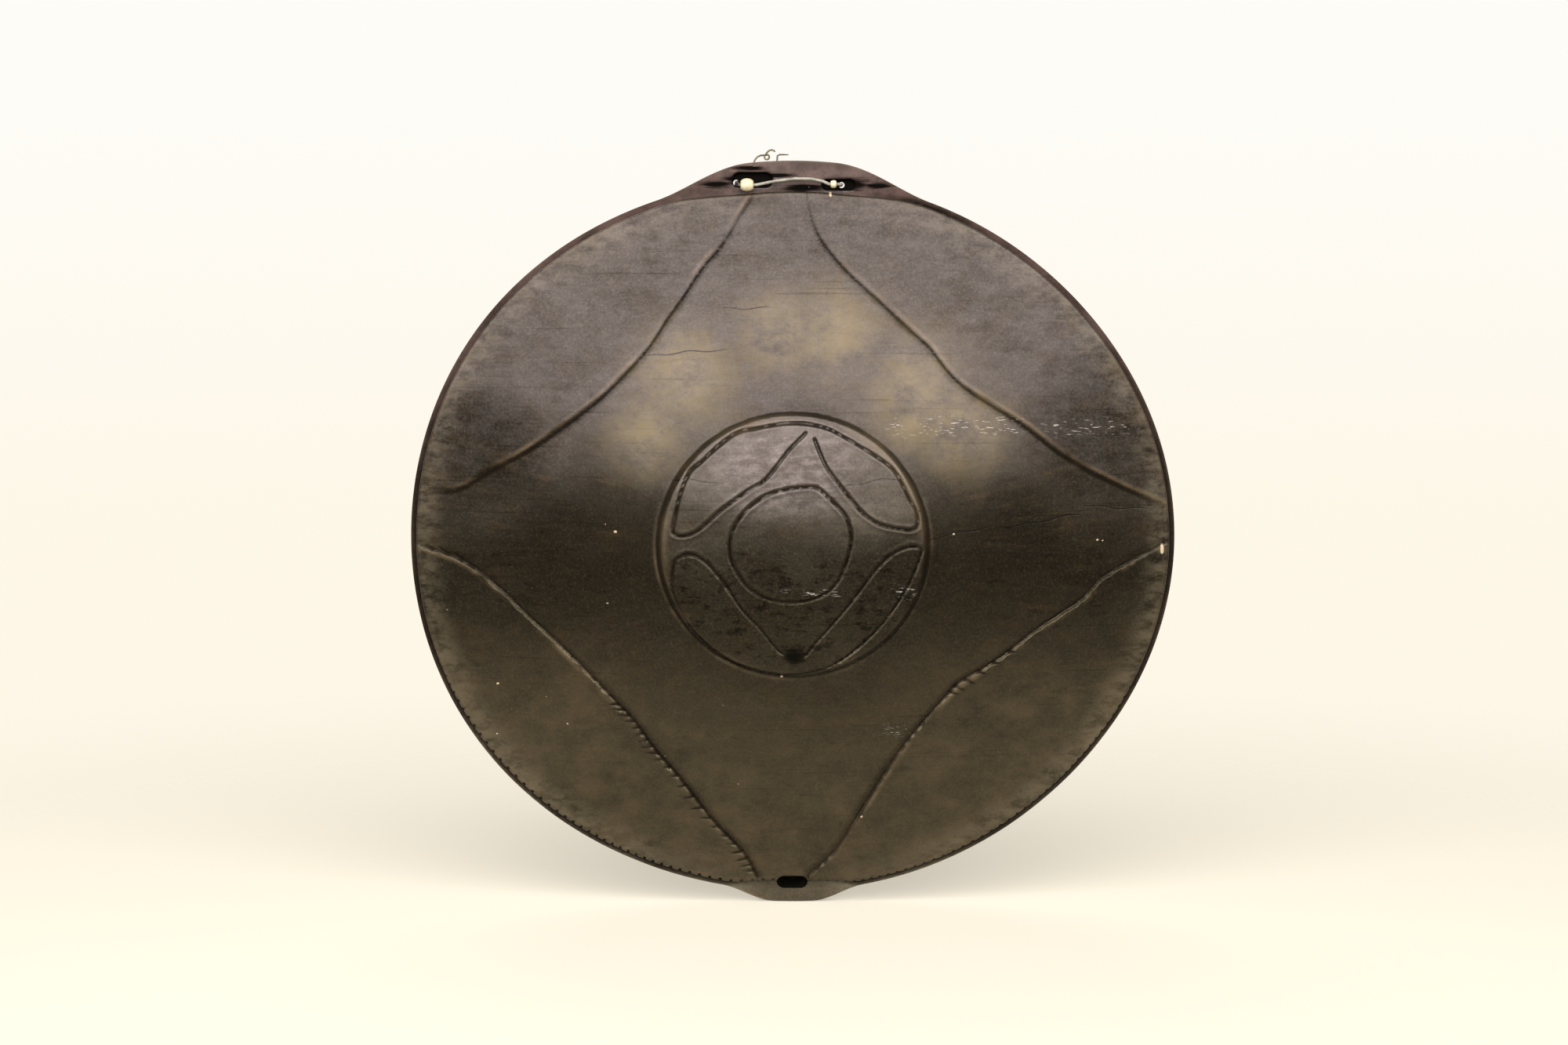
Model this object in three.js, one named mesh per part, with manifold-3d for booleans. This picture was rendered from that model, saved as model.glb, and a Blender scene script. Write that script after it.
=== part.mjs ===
// A round African shield carved from one block of wood, with a boss, carved seams and a hanging wire.
// Millimetres. The shield stands upright: its face looks along -Y, +Z is up and +X is the viewer's right.
// The origin lies on the flat back of the top lip, at the shield's middle, where it touches a wall.
import * as THREE from 'three';
import { mergeVertices } from 'three/addons/utils/BufferGeometryUtils.js';
import Module from 'manifold-3d';

const wasm = await Module();
wasm.setup();

// Driving dimensions of the outline, seen from the front and measured from the middle of the boss
const halfWidth = 280;
const halfHeight = 262;
const lopsidedness = 3;
const lopsidedTurn = 10;
const lipRise = 12.5;
const lipHalfFlat = 30;
const lipShoulder = 70;
const tabDrop = 8;
const tabHalfFlat = 14;
const tabShoulder = 38;
const originBelowLip = 4;
const lipTop = halfHeight + lipRise;
const tabBottom = -halfHeight - tabDrop;
const originAboveCentre = lipTop - originBelowLip;

// Driving dimensions of the section, with depths measured forward from the plane of the rim's back
const bossFaceDepth = 104;
const bossEdgeDepth = 94;
const bossFootDepth = 88.5;
const domeEdgeDepth = 22;
const flangeDepth = 12;
const lipDepth = 17;
const wallThickness = 12;
const flangeWidth = 5;
const lipFlangeExtra = 5.6;
const tabFlangeExtra = 4;
const rimBackWidth = 15;
const rimBevel = 6;
const edgeRound = 1.8;
const domeFallPower = 1.4;

// Carving on the face
const bossRadius = 96;
const bossHalfHeight = 93.5;
const bossRoll = 7;
const bandWidth = 7.5;
const innerCircleRadius = 43;
const leafMiddleRadius = 52;
const leafTipRadius = 79;
const grooveHalfWidth = 1.7;
const grooveDepth = 1.6;
const seamHalfWidth = 2.6;
const seamFootDepth = 1.2;
const seamRise = 2.2;
const lobeRise = 0.9;

// Slots in the lip's front and the hole in the tab: middle across, middle above the boss, width and height
const leftSlot = { across: -29.2, up: lipTop - 14, width: 28.8, height: 10.4 };
const rightSlot = { across: 33.2, up: lipTop - 17.5, width: 23.6, height: 7.4 };
const tabHole = { across: -0.4, up: tabBottom + 15.3, width: 22, height: 10 };
const slotFloorDepth = 12;
const legHoleRadius = 2.2;
const tabHoleClimb = 0.9;
const tabSolidWidth = 20;

// Relief cut into the back of the lip, in which the wire lies
const reliefDepth = 9;
const reliefHalfWidth = 52;
const reliefTop = lipTop - 7.9;
const reliefBottom = lipTop - 36.5;
const notchLeft = -31;
const notchRight = -8;

// Grip bar, its carved lugs and its rawhide lashings
const gripAxisDepth = 36;
const gripRadius = 13;
const shoulderRadius = 11.4;
const tenonRadius = 9;
const lugMiddle = 79;
const lugThickness = 24;
const lugHalfWidth = 9;
const lugFlare = 6;
const saddleWallRise = 5;
const tenonOverhang = 5;
const thongDiameter = 3.4;
const thongPitch = 4.1;
const thongLoops = 4;
const thongCornerRadius = 3.5;
const slotBelowSaddle = 7;

// Hanging wire, its beads and the thin wire of the eye, with bends given across and up from the lip's top
const wireDiameter = 2.2;
const wireBackDepth = 4.2;
const wireFrontDepth = 23.6;
const wireBend = 3;
const wireCoilTurns = 2;
const wireCoilGap = 0.5;
const leftLegAcross = -41.2;
const rightLegAcross = 35.5;
const wireEndAcross = 3;
const coilStartAcross = 17;
const leftBead = { across: -33.2, up: lipTop - 18, radius: 4.9, length: 9.4 };
const rightBead = { across: 29.4, up: lipTop - 17.5, radius: 2.9, length: 4.4 };
const frontArch = [[-26.4, -18], [-12, -15.1], [2, -13.5], [14, -13.7], [22, -15.5], [26.4, -17.5]];
const coilRadius = wireDiameter + wireCoilGap;
const backLineUp = rightBead.up;
const standingLineUp = backLineUp + coilRadius;
const wireLegs = [[leftLegAcross, leftBead.up, standingLineUp], [rightLegAcross, rightBead.up, backLineUp]];
const eyeWireDiameter = 1.1;
const eyeTurns = 3;
const eyeLegLeft = -28;
const eyeLegRight = -11.4;
const eyeLean = 2;
const smallRing = { across: -18.9, lift: 2.9, radius: 1.75, startTurn: 108, turns: 1.1 };
const eyeLoopAbove = [[-12.9, 6.5], [-13.7, 7.6], [-15.7, 8.1], [-17.8, 7.2], [-19.2, 5.6]];
const eyeArcLeft = [[-23.4, 4.1], [-25.6, 3.2], [-27.4, 1.2]];
const eyeTail = [[-11.2, 3.9], [-9.4, 4.7], [-3.1, 4.6]];

// Fits and fineness
const clearance = 0.3;
const overrun = 20;
const bedding = 6;
const rayCount = 120;

// Seams between the raised outer lobes and the middle star: angle in degrees, share of the dome's edge radius
const seamShares = {
  upperLeft: [[97, 0.99], [103.3, 0.866], [108.6, 0.8], [114, 0.742], [119.5, 0.7], [126.6, 0.656],
    [135, 0.636], [144.7, 0.64], [153, 0.674], [162.3, 0.748], [167.2, 0.82], [171.4, 0.89], [172.8, 0.98]],
  upperRight: [[5.2, 0.985], [9.8, 0.866], [16.9, 0.757], [27.3, 0.686], [39.2, 0.632], [47.1, 0.628],
    [54.7, 0.652], [61, 0.668], [67.8, 0.697], [74.1, 0.74], [79.4, 0.792], [84.9, 0.876], [87.6, 0.98]],
  lowerLeft: [[181.2, 0.985], [183.7, 0.876], [189, 0.79], [196.2, 0.726], [206.7, 0.666], [220.9, 0.645],
    [229, 0.656], [236.1, 0.69], [244.5, 0.737], [254.2, 0.83], [261.2, 0.914], [263.9, 0.985]],
  lowerRight: [[272.7, 0.985], [277.9, 0.903], [284.6, 0.786], [295.2, 0.672], [303.5, 0.626], [313, 0.6],
    [319.4, 0.595], [329.8, 0.637], [341.3, 0.704], [348.3, 0.782], [353.5, 0.836], [359.2, 0.985]],
};

// The four leaf panels on the boss: first and last angle in degrees
const leaves = [[7.5, 80.5], [83.5, 175], [186, 266], [275, 354]];
const leafCurvePower = 2.6;

const degrees = (angle) => THREE.MathUtils.degToRad(angle);
const mix = (from, to, share) => from + (to - from) * share;
const smooth = (share) => THREE.MathUtils.smoothstep(share, 0, 1);

// Straight-line reading of a table of [place, value] pairs
function readTable(table, place) {
  const next = table.findIndex(([at]) => at >= place);
  if (next <= 0) return table[next === 0 ? 0 : table.length - 1][1];
  const [before, after] = [table[next - 1], table[next]];
  return mix(before[1], after[1], (place - before[0]) / (after[0] - before[0]));
}

// One where the lip or tab is at its full height, fading to zero at the end of its shoulder
function swell(across, halfFlat, shoulder) {
  return 1 - smooth((Math.abs(across) - halfFlat) / shoulder);
}

function ellipseRadius(angle, halfAcross, halfUp) {
  return 1 / Math.hypot(Math.cos(angle) / halfAcross, Math.sin(angle) / halfUp);
}

// Outline and edge radii along one ray from the middle of the boss
function rimAlong(angle) {
  const oval = ellipseRadius(angle, halfWidth, halfHeight);
  const lopsided = -lopsidedness * Math.sin(2 * angle) ** 2 * Math.cos(angle + degrees(lopsidedTurn));
  const across = oval * Math.cos(angle);
  const upward = Math.sin(angle) > 0;
  const lip = upward ? swell(across, lipHalfFlat, lipShoulder) : 0;
  const tab = upward ? 0 : swell(across, tabHalfFlat, tabShoulder);
  const rim = oval + lopsided;
  return {
    lip,
    tab,
    outline: rim + lipRise * lip + tabDrop * tab,
    domeEdge: rim - flangeWidth - lipFlangeExtra * lip - tabFlangeExtra * tab,
  };
}

// Depth of the bare face before any carving: a low dome for the boss, rolled over at its edge, on the bell
function faceDepth(radius, bossEdge, domeEdge) {
  if (radius < bossEdge) {
    const roll = Math.max((radius - bossEdge) / bossRoll + 1, 0);
    const low = mix(bossFaceDepth, bossEdgeDepth, (radius / bossEdge) ** 2);
    return mix(bossFootDepth, low, Math.sqrt(1 - roll ** 2));
  }
  const run = Math.min((radius - bossEdge) / (domeEdge - bossEdge), 1);
  return mix(domeEdgeDepth, bossFootDepth, (1 - run) ** domeFallPower);
}

// Depth of the hollowed back, which follows the face at the wall's thickness
function backDepth(radius, bossEdge, domeEdge) {
  const step = grooveHalfWidth;
  const near = Math.max(radius, bossEdge);
  const fall = faceDepth(near, bossEdge, domeEdge) - faceDepth(near + step, bossEdge, domeEdge);
  const slope = fall / step;
  const bowl = mix(bossFaceDepth, bossFootDepth, Math.min(radius / bossEdge, 1) ** 2);
  const face = radius < bossEdge ? bowl : faceDepth(radius, bossEdge, domeEdge);
  return face - wallThickness * Math.hypot(1, slope);
}

// Radius of the leaf panels' inner line along one ray, with how strongly it is cut there
function leafAlong(angle, bandInner) {
  const turn = THREE.MathUtils.radToDeg(angle);
  const tipRadius = bandInner - 3 * grooveHalfWidth;
  for (const [first, last] of leaves) {
    const place = (2 * turn - first - last) / (last - first);
    if (Math.abs(place) > 1) continue;
    const bow = Math.abs(place) ** leafCurvePower;
    const radius = mix(leafMiddleRadius, leafTipRadius, bow);
    return { radius: Math.min(radius, tipRadius), cut: 1 };
  }
  return { radius: tipRadius, cut: 0 };
}

// Radius of the seam along one ray, with how strongly it is cut there
function seamAlong(angle, domeEdge) {
  const turn = THREE.MathUtils.radToDeg(angle);
  const outermost = domeEdge - 4 * seamHalfWidth;
  for (const table of Object.values(seamShares)) {
    if (turn < table[0][0] || turn > table[table.length - 1][0]) continue;
    return { radius: Math.min(domeEdge * readTable(table, turn), outermost), cut: 1 };
  }
  return { radius: outermost, cut: 0 };
}

// Points of the section along one ray, from the middle of the face round the rim to the middle of the back
function sectionAlong(angle) {
  const { lip, tab, outline, domeEdge } = rimAlong(angle);
  const bossEdge = ellipseRadius(angle, bossRadius, bossHalfHeight);
  const bandInner = bossEdge - bandWidth;
  const leaf = leafAlong(angle, bandInner);
  const seam = seamAlong(angle, domeEdge);
  const face = (radius, rise = 0) => [radius, faceDepth(radius, bossEdge, domeEdge) + rise];
  const rolled = (share) => face(bossEdge - bossRoll * (1 - share));
  const lobe = (share) => {
    const radius = mix(seam.radius + seamHalfWidth, domeEdge - edgeRound, share);
    return face(radius, mix(seamRise, lobeRise, Math.sqrt(share)) * seam.cut);
  };
  const star = (share) => face(mix(bossEdge + 2 * grooveHalfWidth, seam.radius - seamHalfWidth, share));
  const rimFront = mix(flangeDepth, lipDepth, lip);
  const innerRim = outline - rimBackWidth - lipRise * lip / 2 - tabSolidWidth * tab;
  const backStart = innerRim - rimBevel;
  const back = (share) => {
    const radius = mix(backStart, bossEdge, share);
    return [radius, backDepth(radius, bossEdge, domeEdge)];
  };
  const bowl = (share) => [bossEdge * share, backDepth(bossEdge * share, bossEdge, domeEdge)];
  return [
    face(innerCircleRadius / 2),
    face(innerCircleRadius - grooveHalfWidth),
    face(innerCircleRadius, -grooveDepth),
    face(innerCircleRadius + grooveHalfWidth),
    face(leaf.radius - grooveHalfWidth),
    face(leaf.radius, -grooveDepth * leaf.cut),
    face(leaf.radius + grooveHalfWidth),
    face(bandInner - grooveHalfWidth),
    face(bandInner, -grooveDepth * leaf.cut),
    face(bandInner + grooveHalfWidth),
    rolled(0.55), rolled(0.85),
    [bossEdge, bossFootDepth - grooveDepth / 2],
    star(0), star(1 / 3), star(2 / 3), star(1),
    face(seam.radius, -seamFootDepth * seam.cut),
    lobe(0), lobe(1 / 3), lobe(2 / 3), lobe(1),
    [domeEdge, domeEdgeDepth - edgeRound],
    [domeEdge + edgeRound / 2, rimFront - edgeRound],
    [mix(domeEdge, outline, 0.6), rimFront - edgeRound / 2],
    [outline - edgeRound, rimFront],
    [outline, rimFront - edgeRound],
    [outline, edgeRound],
    [outline - edgeRound, 0],
    [innerRim, 0],
    back(0), back(0.2), back(0.4), back(0.6), back(0.8), back(1),
    bowl(0.75), bowl(0.45),
  ];
}

// Place in the part's frame of a point given across, above the boss and forward of the rim's back
const place = (across, up, depth) => new THREE.Vector3(across, -depth, up - originAboveCentre);

// Closed surface from rings of equally many points, closed by a fan on a middle point at each end
function ringSurface(rings, firstMiddle, lastMiddle) {
  const count = rings[0].length;
  const points = [firstMiddle, ...rings.flat(), lastMiddle];
  const corners = points.flatMap((point) => point.toArray());
  const at = (ring, spot) => 1 + ring * count + spot % count;
  const faces = [];
  for (let spot = 0; spot < count; spot += 1) {
    faces.push(0, at(0, spot), at(0, spot + 1));
    for (let ring = 1; ring < rings.length; ring += 1) {
      faces.push(at(ring - 1, spot), at(ring, spot), at(ring, spot + 1));
      faces.push(at(ring - 1, spot), at(ring, spot + 1), at(ring - 1, spot + 1));
    }
    faces.push(points.length - 1, at(rings.length - 1, spot + 1), at(rings.length - 1, spot));
  }
  const surface = new THREE.BufferGeometry();
  surface.setAttribute('position', new THREE.Float32BufferAttribute(corners, 3));
  surface.setIndex(faces);
  return surface;
}

// Joining and cutting of closed shapes
function toSolid(geometry) {
  const bare = geometry.clone();
  bare.deleteAttribute('normal');
  bare.deleteAttribute('uv');
  const merged = mergeVertices(bare, clearance / 1000);
  const vertProperties = new Float32Array(merged.getAttribute('position').array);
  const triVerts = new Uint32Array(merged.getIndex().array);
  return new wasm.Manifold(new wasm.Mesh({ numProp: 3, vertProperties, triVerts }));
}

function toGeometry(solid) {
  const mesh = solid.getMesh();
  const geometry = new THREE.BufferGeometry();
  geometry.setAttribute('position', new THREE.Float32BufferAttribute(mesh.vertProperties, 3));
  geometry.setIndex(Array.from(mesh.triVerts));
  return geometry;
}

// Outline drawn in across and up, pushed along Y from one depth to another
function pushThrough(outline, nearDepth, farDepth) {
  const depth = farDepth - nearDepth;
  const block = new THREE.ExtrudeGeometry(outline, { depth, bevelEnabled: false, curveSegments: 6 });
  block.rotateX(Math.PI / 2);
  return block.translate(0, -nearDepth, -originAboveCentre);
}

function rectangle(left, right, bottom, top) {
  return new THREE.Shape([[left, bottom], [right, bottom], [right, top], [left, top]]
    .map(([across, up]) => new THREE.Vector2(across, up)));
}

// Round-ended slot outline
function slotOutline({ across, up, width, height }) {
  const end = height / 2;
  const reach = width / 2 - end;
  const outline = new THREE.Shape();
  outline.absarc(across + reach, up, end, -Math.PI / 2, Math.PI / 2);
  outline.absarc(across - reach, up, end, Math.PI / 2, 1.5 * Math.PI);
  return outline;
}

// Lug carved out of the back, with a saddle for the bar's end and a slot for the thong
const slotDepthMiddle = gripAxisDepth + tenonRadius + clearance + slotBelowSaddle;
const slotLength = thongPitch * thongLoops + thongDiameter + 2 * clearance;
const slotHeight = thongDiameter + 5 * clearance;

function lugAcross(middle) {
  const saddleRadius = tenonRadius + clearance;
  const opening = Math.asin(saddleWallRise / saddleRadius);
  const crown = gripAxisDepth + saddleWallRise;
  const waist = slotDepthMiddle + slotHeight;
  const base = backDepth(lugMiddle - lugThickness / 2, bossRadius, halfHeight) + bedding;
  const outline = new THREE.Shape();
  outline.moveTo(lugHalfWidth + lugFlare, base);
  outline.lineTo(-lugHalfWidth - lugFlare, base);
  outline.quadraticCurveTo(-lugHalfWidth, mix(waist, base, 0.6), -lugHalfWidth, waist);
  outline.lineTo(-lugHalfWidth, crown);
  outline.absarc(0, gripAxisDepth, saddleRadius, Math.PI - opening, opening, true);
  outline.lineTo(lugHalfWidth, crown);
  outline.lineTo(lugHalfWidth, waist);
  outline.quadraticCurveTo(lugHalfWidth, mix(waist, base, 0.6), lugHalfWidth + lugFlare, base);
  const depth = lugThickness;
  const lug = new THREE.ExtrudeGeometry(outline, { depth, bevelEnabled: false, curveSegments: 8 });
  const slot = new THREE.BoxGeometry(2 * overrun + 2 * lugHalfWidth, slotHeight, slotLength);
  slot.translate(0, slotDepthMiddle, lugThickness / 2);
  const carved = toGeometry(toSolid(lug).subtract(toSolid(slot)));
  // The outline was drawn with its first axis up the shield and its second axis forward
  carved.applyMatrix4(new THREE.Matrix4().makeBasis(
    new THREE.Vector3(0, 0, 1), new THREE.Vector3(0, -1, 0), new THREE.Vector3(1, 0, 0)));
  return carved.translate(middle - lugThickness / 2, 0, -originAboveCentre);
}

function shieldBody() {
  const sections = Array.from({ length: rayCount }, (_, ray) => {
    const angle = 2 * Math.PI * ray / rayCount;
    const [across, up] = [Math.cos(angle), Math.sin(angle)];
    return sectionAlong(angle).map(([radius, depth]) => place(radius * across, radius * up, depth));
  });
  const rings = sections[0].map((_, ring) => sections.map((section) => section[ring]));
  const backMiddle = place(0, 0, backDepth(0, bossRadius, halfHeight));
  const blank = ringSurface(rings, place(0, 0, bossFaceDepth), backMiddle);
  let body = toSolid(blank);
  for (const middle of [-lugMiddle, lugMiddle]) body = body.add(toSolid(lugAcross(middle)));
  const relief = rectangle(-reliefHalfWidth, reliefHalfWidth, reliefBottom, reliefTop);
  const notch = rectangle(notchLeft, notchRight, reliefBottom, lipTop + overrun);
  for (const cut of [relief, notch]) body = body.subtract(toSolid(pushThrough(cut, -overrun, reliefDepth)));
  for (const slot of [leftSlot, rightSlot]) {
    body = body.subtract(toSolid(pushThrough(slotOutline(slot), slotFloorDepth, bossFootDepth)));
  }
  const legHoleDepth = mix(reliefDepth, slotFloorDepth, 0.5);
  const legShare = (wireFrontDepth - legHoleDepth) / (wireFrontDepth - wireBackDepth);
  for (const [across, frontUp, backUp] of wireLegs) {
    const hole = new THREE.Shape();
    hole.absarc(across, mix(frontUp, backUp, legShare), legHoleRadius, 0, 2 * Math.PI);
    body = body.subtract(toSolid(pushThrough(hole, -overrun, bossFootDepth)));
  }
  // The tab's hole goes straight in at the front, then climbs through the solid foot to the back
  const bendDepth = flangeDepth - edgeRound;
  const straight = pushThrough(slotOutline(tabHole), bendDepth - clearance, bossFootDepth);
  const climbing = pushThrough(slotOutline(tabHole), -overrun, bendDepth);
  climbing.translate(0, bendDepth, 0);
  climbing.applyMatrix4(new THREE.Matrix4().makeShear(0, 0, 0, tabHoleClimb, 0, 0));
  climbing.translate(0, -bendDepth, 0);
  for (const cut of [straight, climbing]) body = body.subtract(toSolid(cut));
  return toGeometry(body);
}

// Turned bar: swollen in the hand, with a plain round end in each saddle
function gripBar() {
  const tenonEnd = lugMiddle + lugThickness / 2 + tenonOverhang;
  const shoulder = lugMiddle - lugThickness / 2 - clearance;
  const chamfer = tenonRadius / 8;
  const half = [
    [gripRadius, 0], [mix(gripRadius, shoulderRadius, 0.25), shoulder / 2],
    [shoulderRadius, shoulder - 2 * chamfer], [shoulderRadius - chamfer, shoulder],
    [tenonRadius, shoulder], [tenonRadius, tenonEnd - chamfer],
    [tenonRadius - chamfer, tenonEnd], [0, tenonEnd],
  ];
  const mirrored = half.slice(1).reverse().map(([radius, along]) => [radius, -along]);
  const profile = [...mirrored, ...half].map(([radius, along]) => new THREE.Vector2(radius, along));
  const bar = new THREE.LatheGeometry(profile, 24);
  bar.rotateZ(-Math.PI / 2);
  return bar.translate(0, -gripAxisDepth, -originAboveCentre);
}

// Closed tube through a list of points, with its sides carried along without twist
function tubeThrough(points, diameter, sides) {
  const rings = [];
  const forward = (index) => {
    const from = points[Math.max(index - 1, 0)];
    const to = points[Math.min(index + 1, points.length - 1)];
    return to.clone().sub(from).normalize();
  };
  let side = new THREE.Vector3(0, 0, 1).cross(forward(0));
  if (side.length() < 0.1) side = new THREE.Vector3(1, 0, 0).cross(forward(0));
  for (let index = 0; index < points.length; index += 1) {
    const along = forward(index);
    side = side.clone().addScaledVector(along, -side.dot(along)).normalize();
    const other = along.clone().cross(side);
    rings.push(Array.from({ length: sides }, (_, spot) => {
      const turn = 2 * Math.PI * spot / sides;
      return points[index].clone()
        .addScaledVector(side, diameter / 2 * Math.cos(turn))
        .addScaledVector(other, diameter / 2 * Math.sin(turn));
    }));
  }
  return ringSurface(rings.reverse(), points[points.length - 1], points[0]);
}

// Points of a route through corners, each corner rounded to a bend no larger than its sides allow
function roundedRoute(corners, bend, stepsInBend) {
  const points = [corners[0]];
  for (let index = 1; index < corners.length - 1; index += 1) {
    const corner = corners[index];
    const back = corners[index - 1].clone().sub(corner);
    const ahead = corners[index + 1].clone().sub(corner);
    const opening = back.angleTo(ahead);
    const reach = Math.min(bend / Math.tan(opening / 2), back.length() * 0.48, ahead.length() * 0.48);
    const start = corner.clone().addScaledVector(back.normalize(), reach);
    const end = corner.clone().addScaledVector(ahead.normalize(), reach);
    const curve = new THREE.QuadraticBezierCurve3(start, corner, end);
    points.push(...curve.getPoints(stepsInBend));
  }
  points.push(corners[corners.length - 1]);
  return points;
}

// Least distance between the surfaces of two stretches of one tube that lie apart along it
function leastGapToItself(points, diameter) {
  const travelled = [0];
  for (let index = 1; index < points.length; index += 1) {
    travelled.push(travelled[index - 1] + points[index].distanceTo(points[index - 1]));
  }
  let least = Infinity;
  const closest = new THREE.Vector3();
  for (let near = 0; near < points.length; near += 1) {
    for (let far = near + 1; far < points.length - 1; far += 1) {
      if (travelled[far] - travelled[near] < 3 * diameter) continue;
      new THREE.Line3(points[far], points[far + 1]).closestPointToPoint(points[near], true, closest);
      least = Math.min(least, closest.distanceTo(points[near]) - diameter);
    }
  }
  return least;
}

// Thong wound over the bar's end and through the lug's slot, loop beside loop
function gripLashing(middle) {
  const reach = tenonRadius + clearance + thongDiameter / 2;
  const corner = thongCornerRadius;
  const cornerDepth = slotDepthMiddle - corner;
  const runs = [];
  const arc = (upMiddle, depthMiddle, radius, from, to, steps) => {
    for (let step = 0; step < steps; step += 1) {
      const turn = degrees(mix(from, to, step / steps));
      runs.push([upMiddle + radius * Math.cos(turn), depthMiddle - radius * Math.sin(turn)]);
    }
  };
  for (const share of [0.25, 0.75]) runs.push([reach, mix(gripAxisDepth, cornerDepth, share)]);
  arc(reach - corner, cornerDepth, corner, 0, -90, 4);
  runs.push([reach - corner, slotDepthMiddle], [0, slotDepthMiddle], [corner - reach, slotDepthMiddle]);
  arc(corner - reach, cornerDepth, corner, 255, 180, 4);
  runs.push([-reach, mix(gripAxisDepth, cornerDepth, 0.6)]);
  arc(0, gripAxisDepth, reach, 180, 0, 10);
  const perLoop = runs.length;
  const first = middle - thongPitch * thongLoops / 2;
  const points = Array.from({ length: perLoop * thongLoops + 2 }, (_, index) => {
    const [up, depth] = runs[index % perLoop];
    return place(first + thongPitch * index / perLoop, up, depth);
  });
  console.log('lashing least gap to itself', leastGapToItself(points, thongDiameter).toFixed(2));
  return tubeThrough(points, thongDiameter, 6);
}

// Hanging wire: one end is coiled round the other behind the lip, and the loop crosses the front
function hangingWire() {
  const stepsPerTurn = 24;
  const coilPitch = wireDiameter + wireCoilGap;
  const coil = Array.from({ length: stepsPerTurn * wireCoilTurns + 1 }, (_, step) => {
    const turn = 2 * Math.PI * step / stepsPerTurn;
    const across = coilStartAcross - coilPitch * step / stepsPerTurn;
    const [upward, forward] = [coilRadius * Math.cos(turn), coilRadius * Math.sin(turn)];
    return place(across, backLineUp + upward, wireBackDepth + forward);
  });
  const endward = coil[0].clone().sub(coil[1]).normalize();
  const freeEnd = coil[0].clone().addScaledVector(endward, 1.5 * wireDiameter);
  const coilEnd = coilStartAcross - coilPitch * wireCoilTurns;
  const route = roundedRoute([
    place(coilEnd - wireDiameter, standingLineUp, wireBackDepth),
    place(leftLegAcross, standingLineUp, wireBackDepth),
    place(leftLegAcross, leftBead.up, wireFrontDepth),
    ...frontArch.map(([across, lift]) => place(across, lipTop + lift, wireFrontDepth)),
    place(rightLegAcross, rightBead.up, wireFrontDepth),
    place(rightLegAcross, backLineUp, wireBackDepth),
    place(wireEndAcross, backLineUp, wireBackDepth),
  ], wireBend, 5);
  const points = [freeEnd, ...coil, ...route];
  console.log('hanging wire least gap to itself', leastGapToItself(points, wireDiameter).toFixed(2));
  return tubeThrough(points, wireDiameter, 8);
}

// Bead bored for the wire, with round shoulders
function bead({ across, up, radius, length }) {
  const bore = wireDiameter / 2 + clearance;
  const steps = 8;
  const outside = Array.from({ length: steps + 1 }, (_, step) => {
    const along = mix(-length / 2, length / 2, step / steps);
    const bulge = Math.sqrt(1 - (0.92 * 2 * along / length) ** 2);
    return new THREE.Vector2(mix(bore, radius, bulge), along);
  });
  const profile = [new THREE.Vector2(bore, -length / 2), ...outside, new THREE.Vector2(bore, length / 2)];
  const shape = new THREE.LatheGeometry([...profile, profile[0].clone()], 20);
  shape.rotateZ(-Math.PI / 2);
  return shape.translate(across, -wireFrontDepth, up - originAboveCentre);
}

// Thin wire of the hanging eye: wound on the standing wire, up through the notch, and bent into ring and loop
function eyeWire() {
  const windRadius = wireDiameter / 2 + clearance + eyeWireDiameter / 2;
  const legDepth = wireBackDepth + windRadius;
  const headDepth = legDepth + eyeLean;
  const head = (table, depth) => table.map(([across, lift]) => place(across, lipTop + lift, depth));
  const crossing = eyeWireDiameter + 2 * clearance;
  const ringSteps = 16;
  const ring = Array.from({ length: ringSteps + 1 }, (_, step) => {
    const { across, lift, radius, startTurn, turns } = smallRing;
    const turn = degrees(startTurn - 360 * turns * step / ringSteps);
    const depth = headDepth + crossing * (0.5 - step / ringSteps);
    return place(across + radius * Math.cos(turn), lipTop + lift + radius * Math.sin(turn), depth);
  });
  const stepsPerTurn = 24;
  const winding = Array.from({ length: stepsPerTurn * eyeTurns + 1 }, (_, step) => {
    const turn = 2 * Math.PI * step / stepsPerTurn;
    const across = mix(eyeLegLeft, eyeLegRight, step / (stepsPerTurn * eyeTurns));
    const [aside, forward] = [windRadius * Math.sin(turn), windRadius * Math.cos(turn)];
    return place(across, standingLineUp - aside, wireBackDepth + forward);
  });
  const neckDepth = mix(legDepth, headDepth, 0.9);
  const points = [
    ...head(eyeLoopAbove, headDepth + crossing / 2), ...ring, ...head(eyeArcLeft, headDepth - crossing / 2),
    place(eyeLegLeft, lipTop, neckDepth), place(eyeLegLeft, standingLineUp + wireBend, legDepth),
    ...winding, place(eyeLegRight, standingLineUp + wireBend, legDepth),
    place(eyeLegRight, lipTop, neckDepth), ...head(eyeTail, headDepth),
  ];
  console.log('eye wire least gap to itself', leastGapToItself(points, eyeWireDiameter).toFixed(2));
  return tubeThrough(points, eyeWireDiameter, 6);
}

function finish(color, roughness, metalness) {
  return new THREE.MeshStandardMaterial({ color, roughness, metalness });
}

const blackenedWood = finish(0x3b322a, 0.5, 0);
const gripWood = finish(0x6b4a2e, 0.55, 0);
const rawhide = finish(0xb08d5e, 0.6, 0);
const palePaint = finish(0xb9b8b4, 0.45, 0.1);
const creamGlass = finish(0xe6dcc6, 0.35, 0);
const darkIron = finish(0x3d3a30, 0.5, 0.8);

const shield = new THREE.Group();

function addPiece(name, geometry, material) {
  const piece = new THREE.Mesh(geometry, material);
  piece.name = name;
  shield.add(piece);
}

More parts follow.
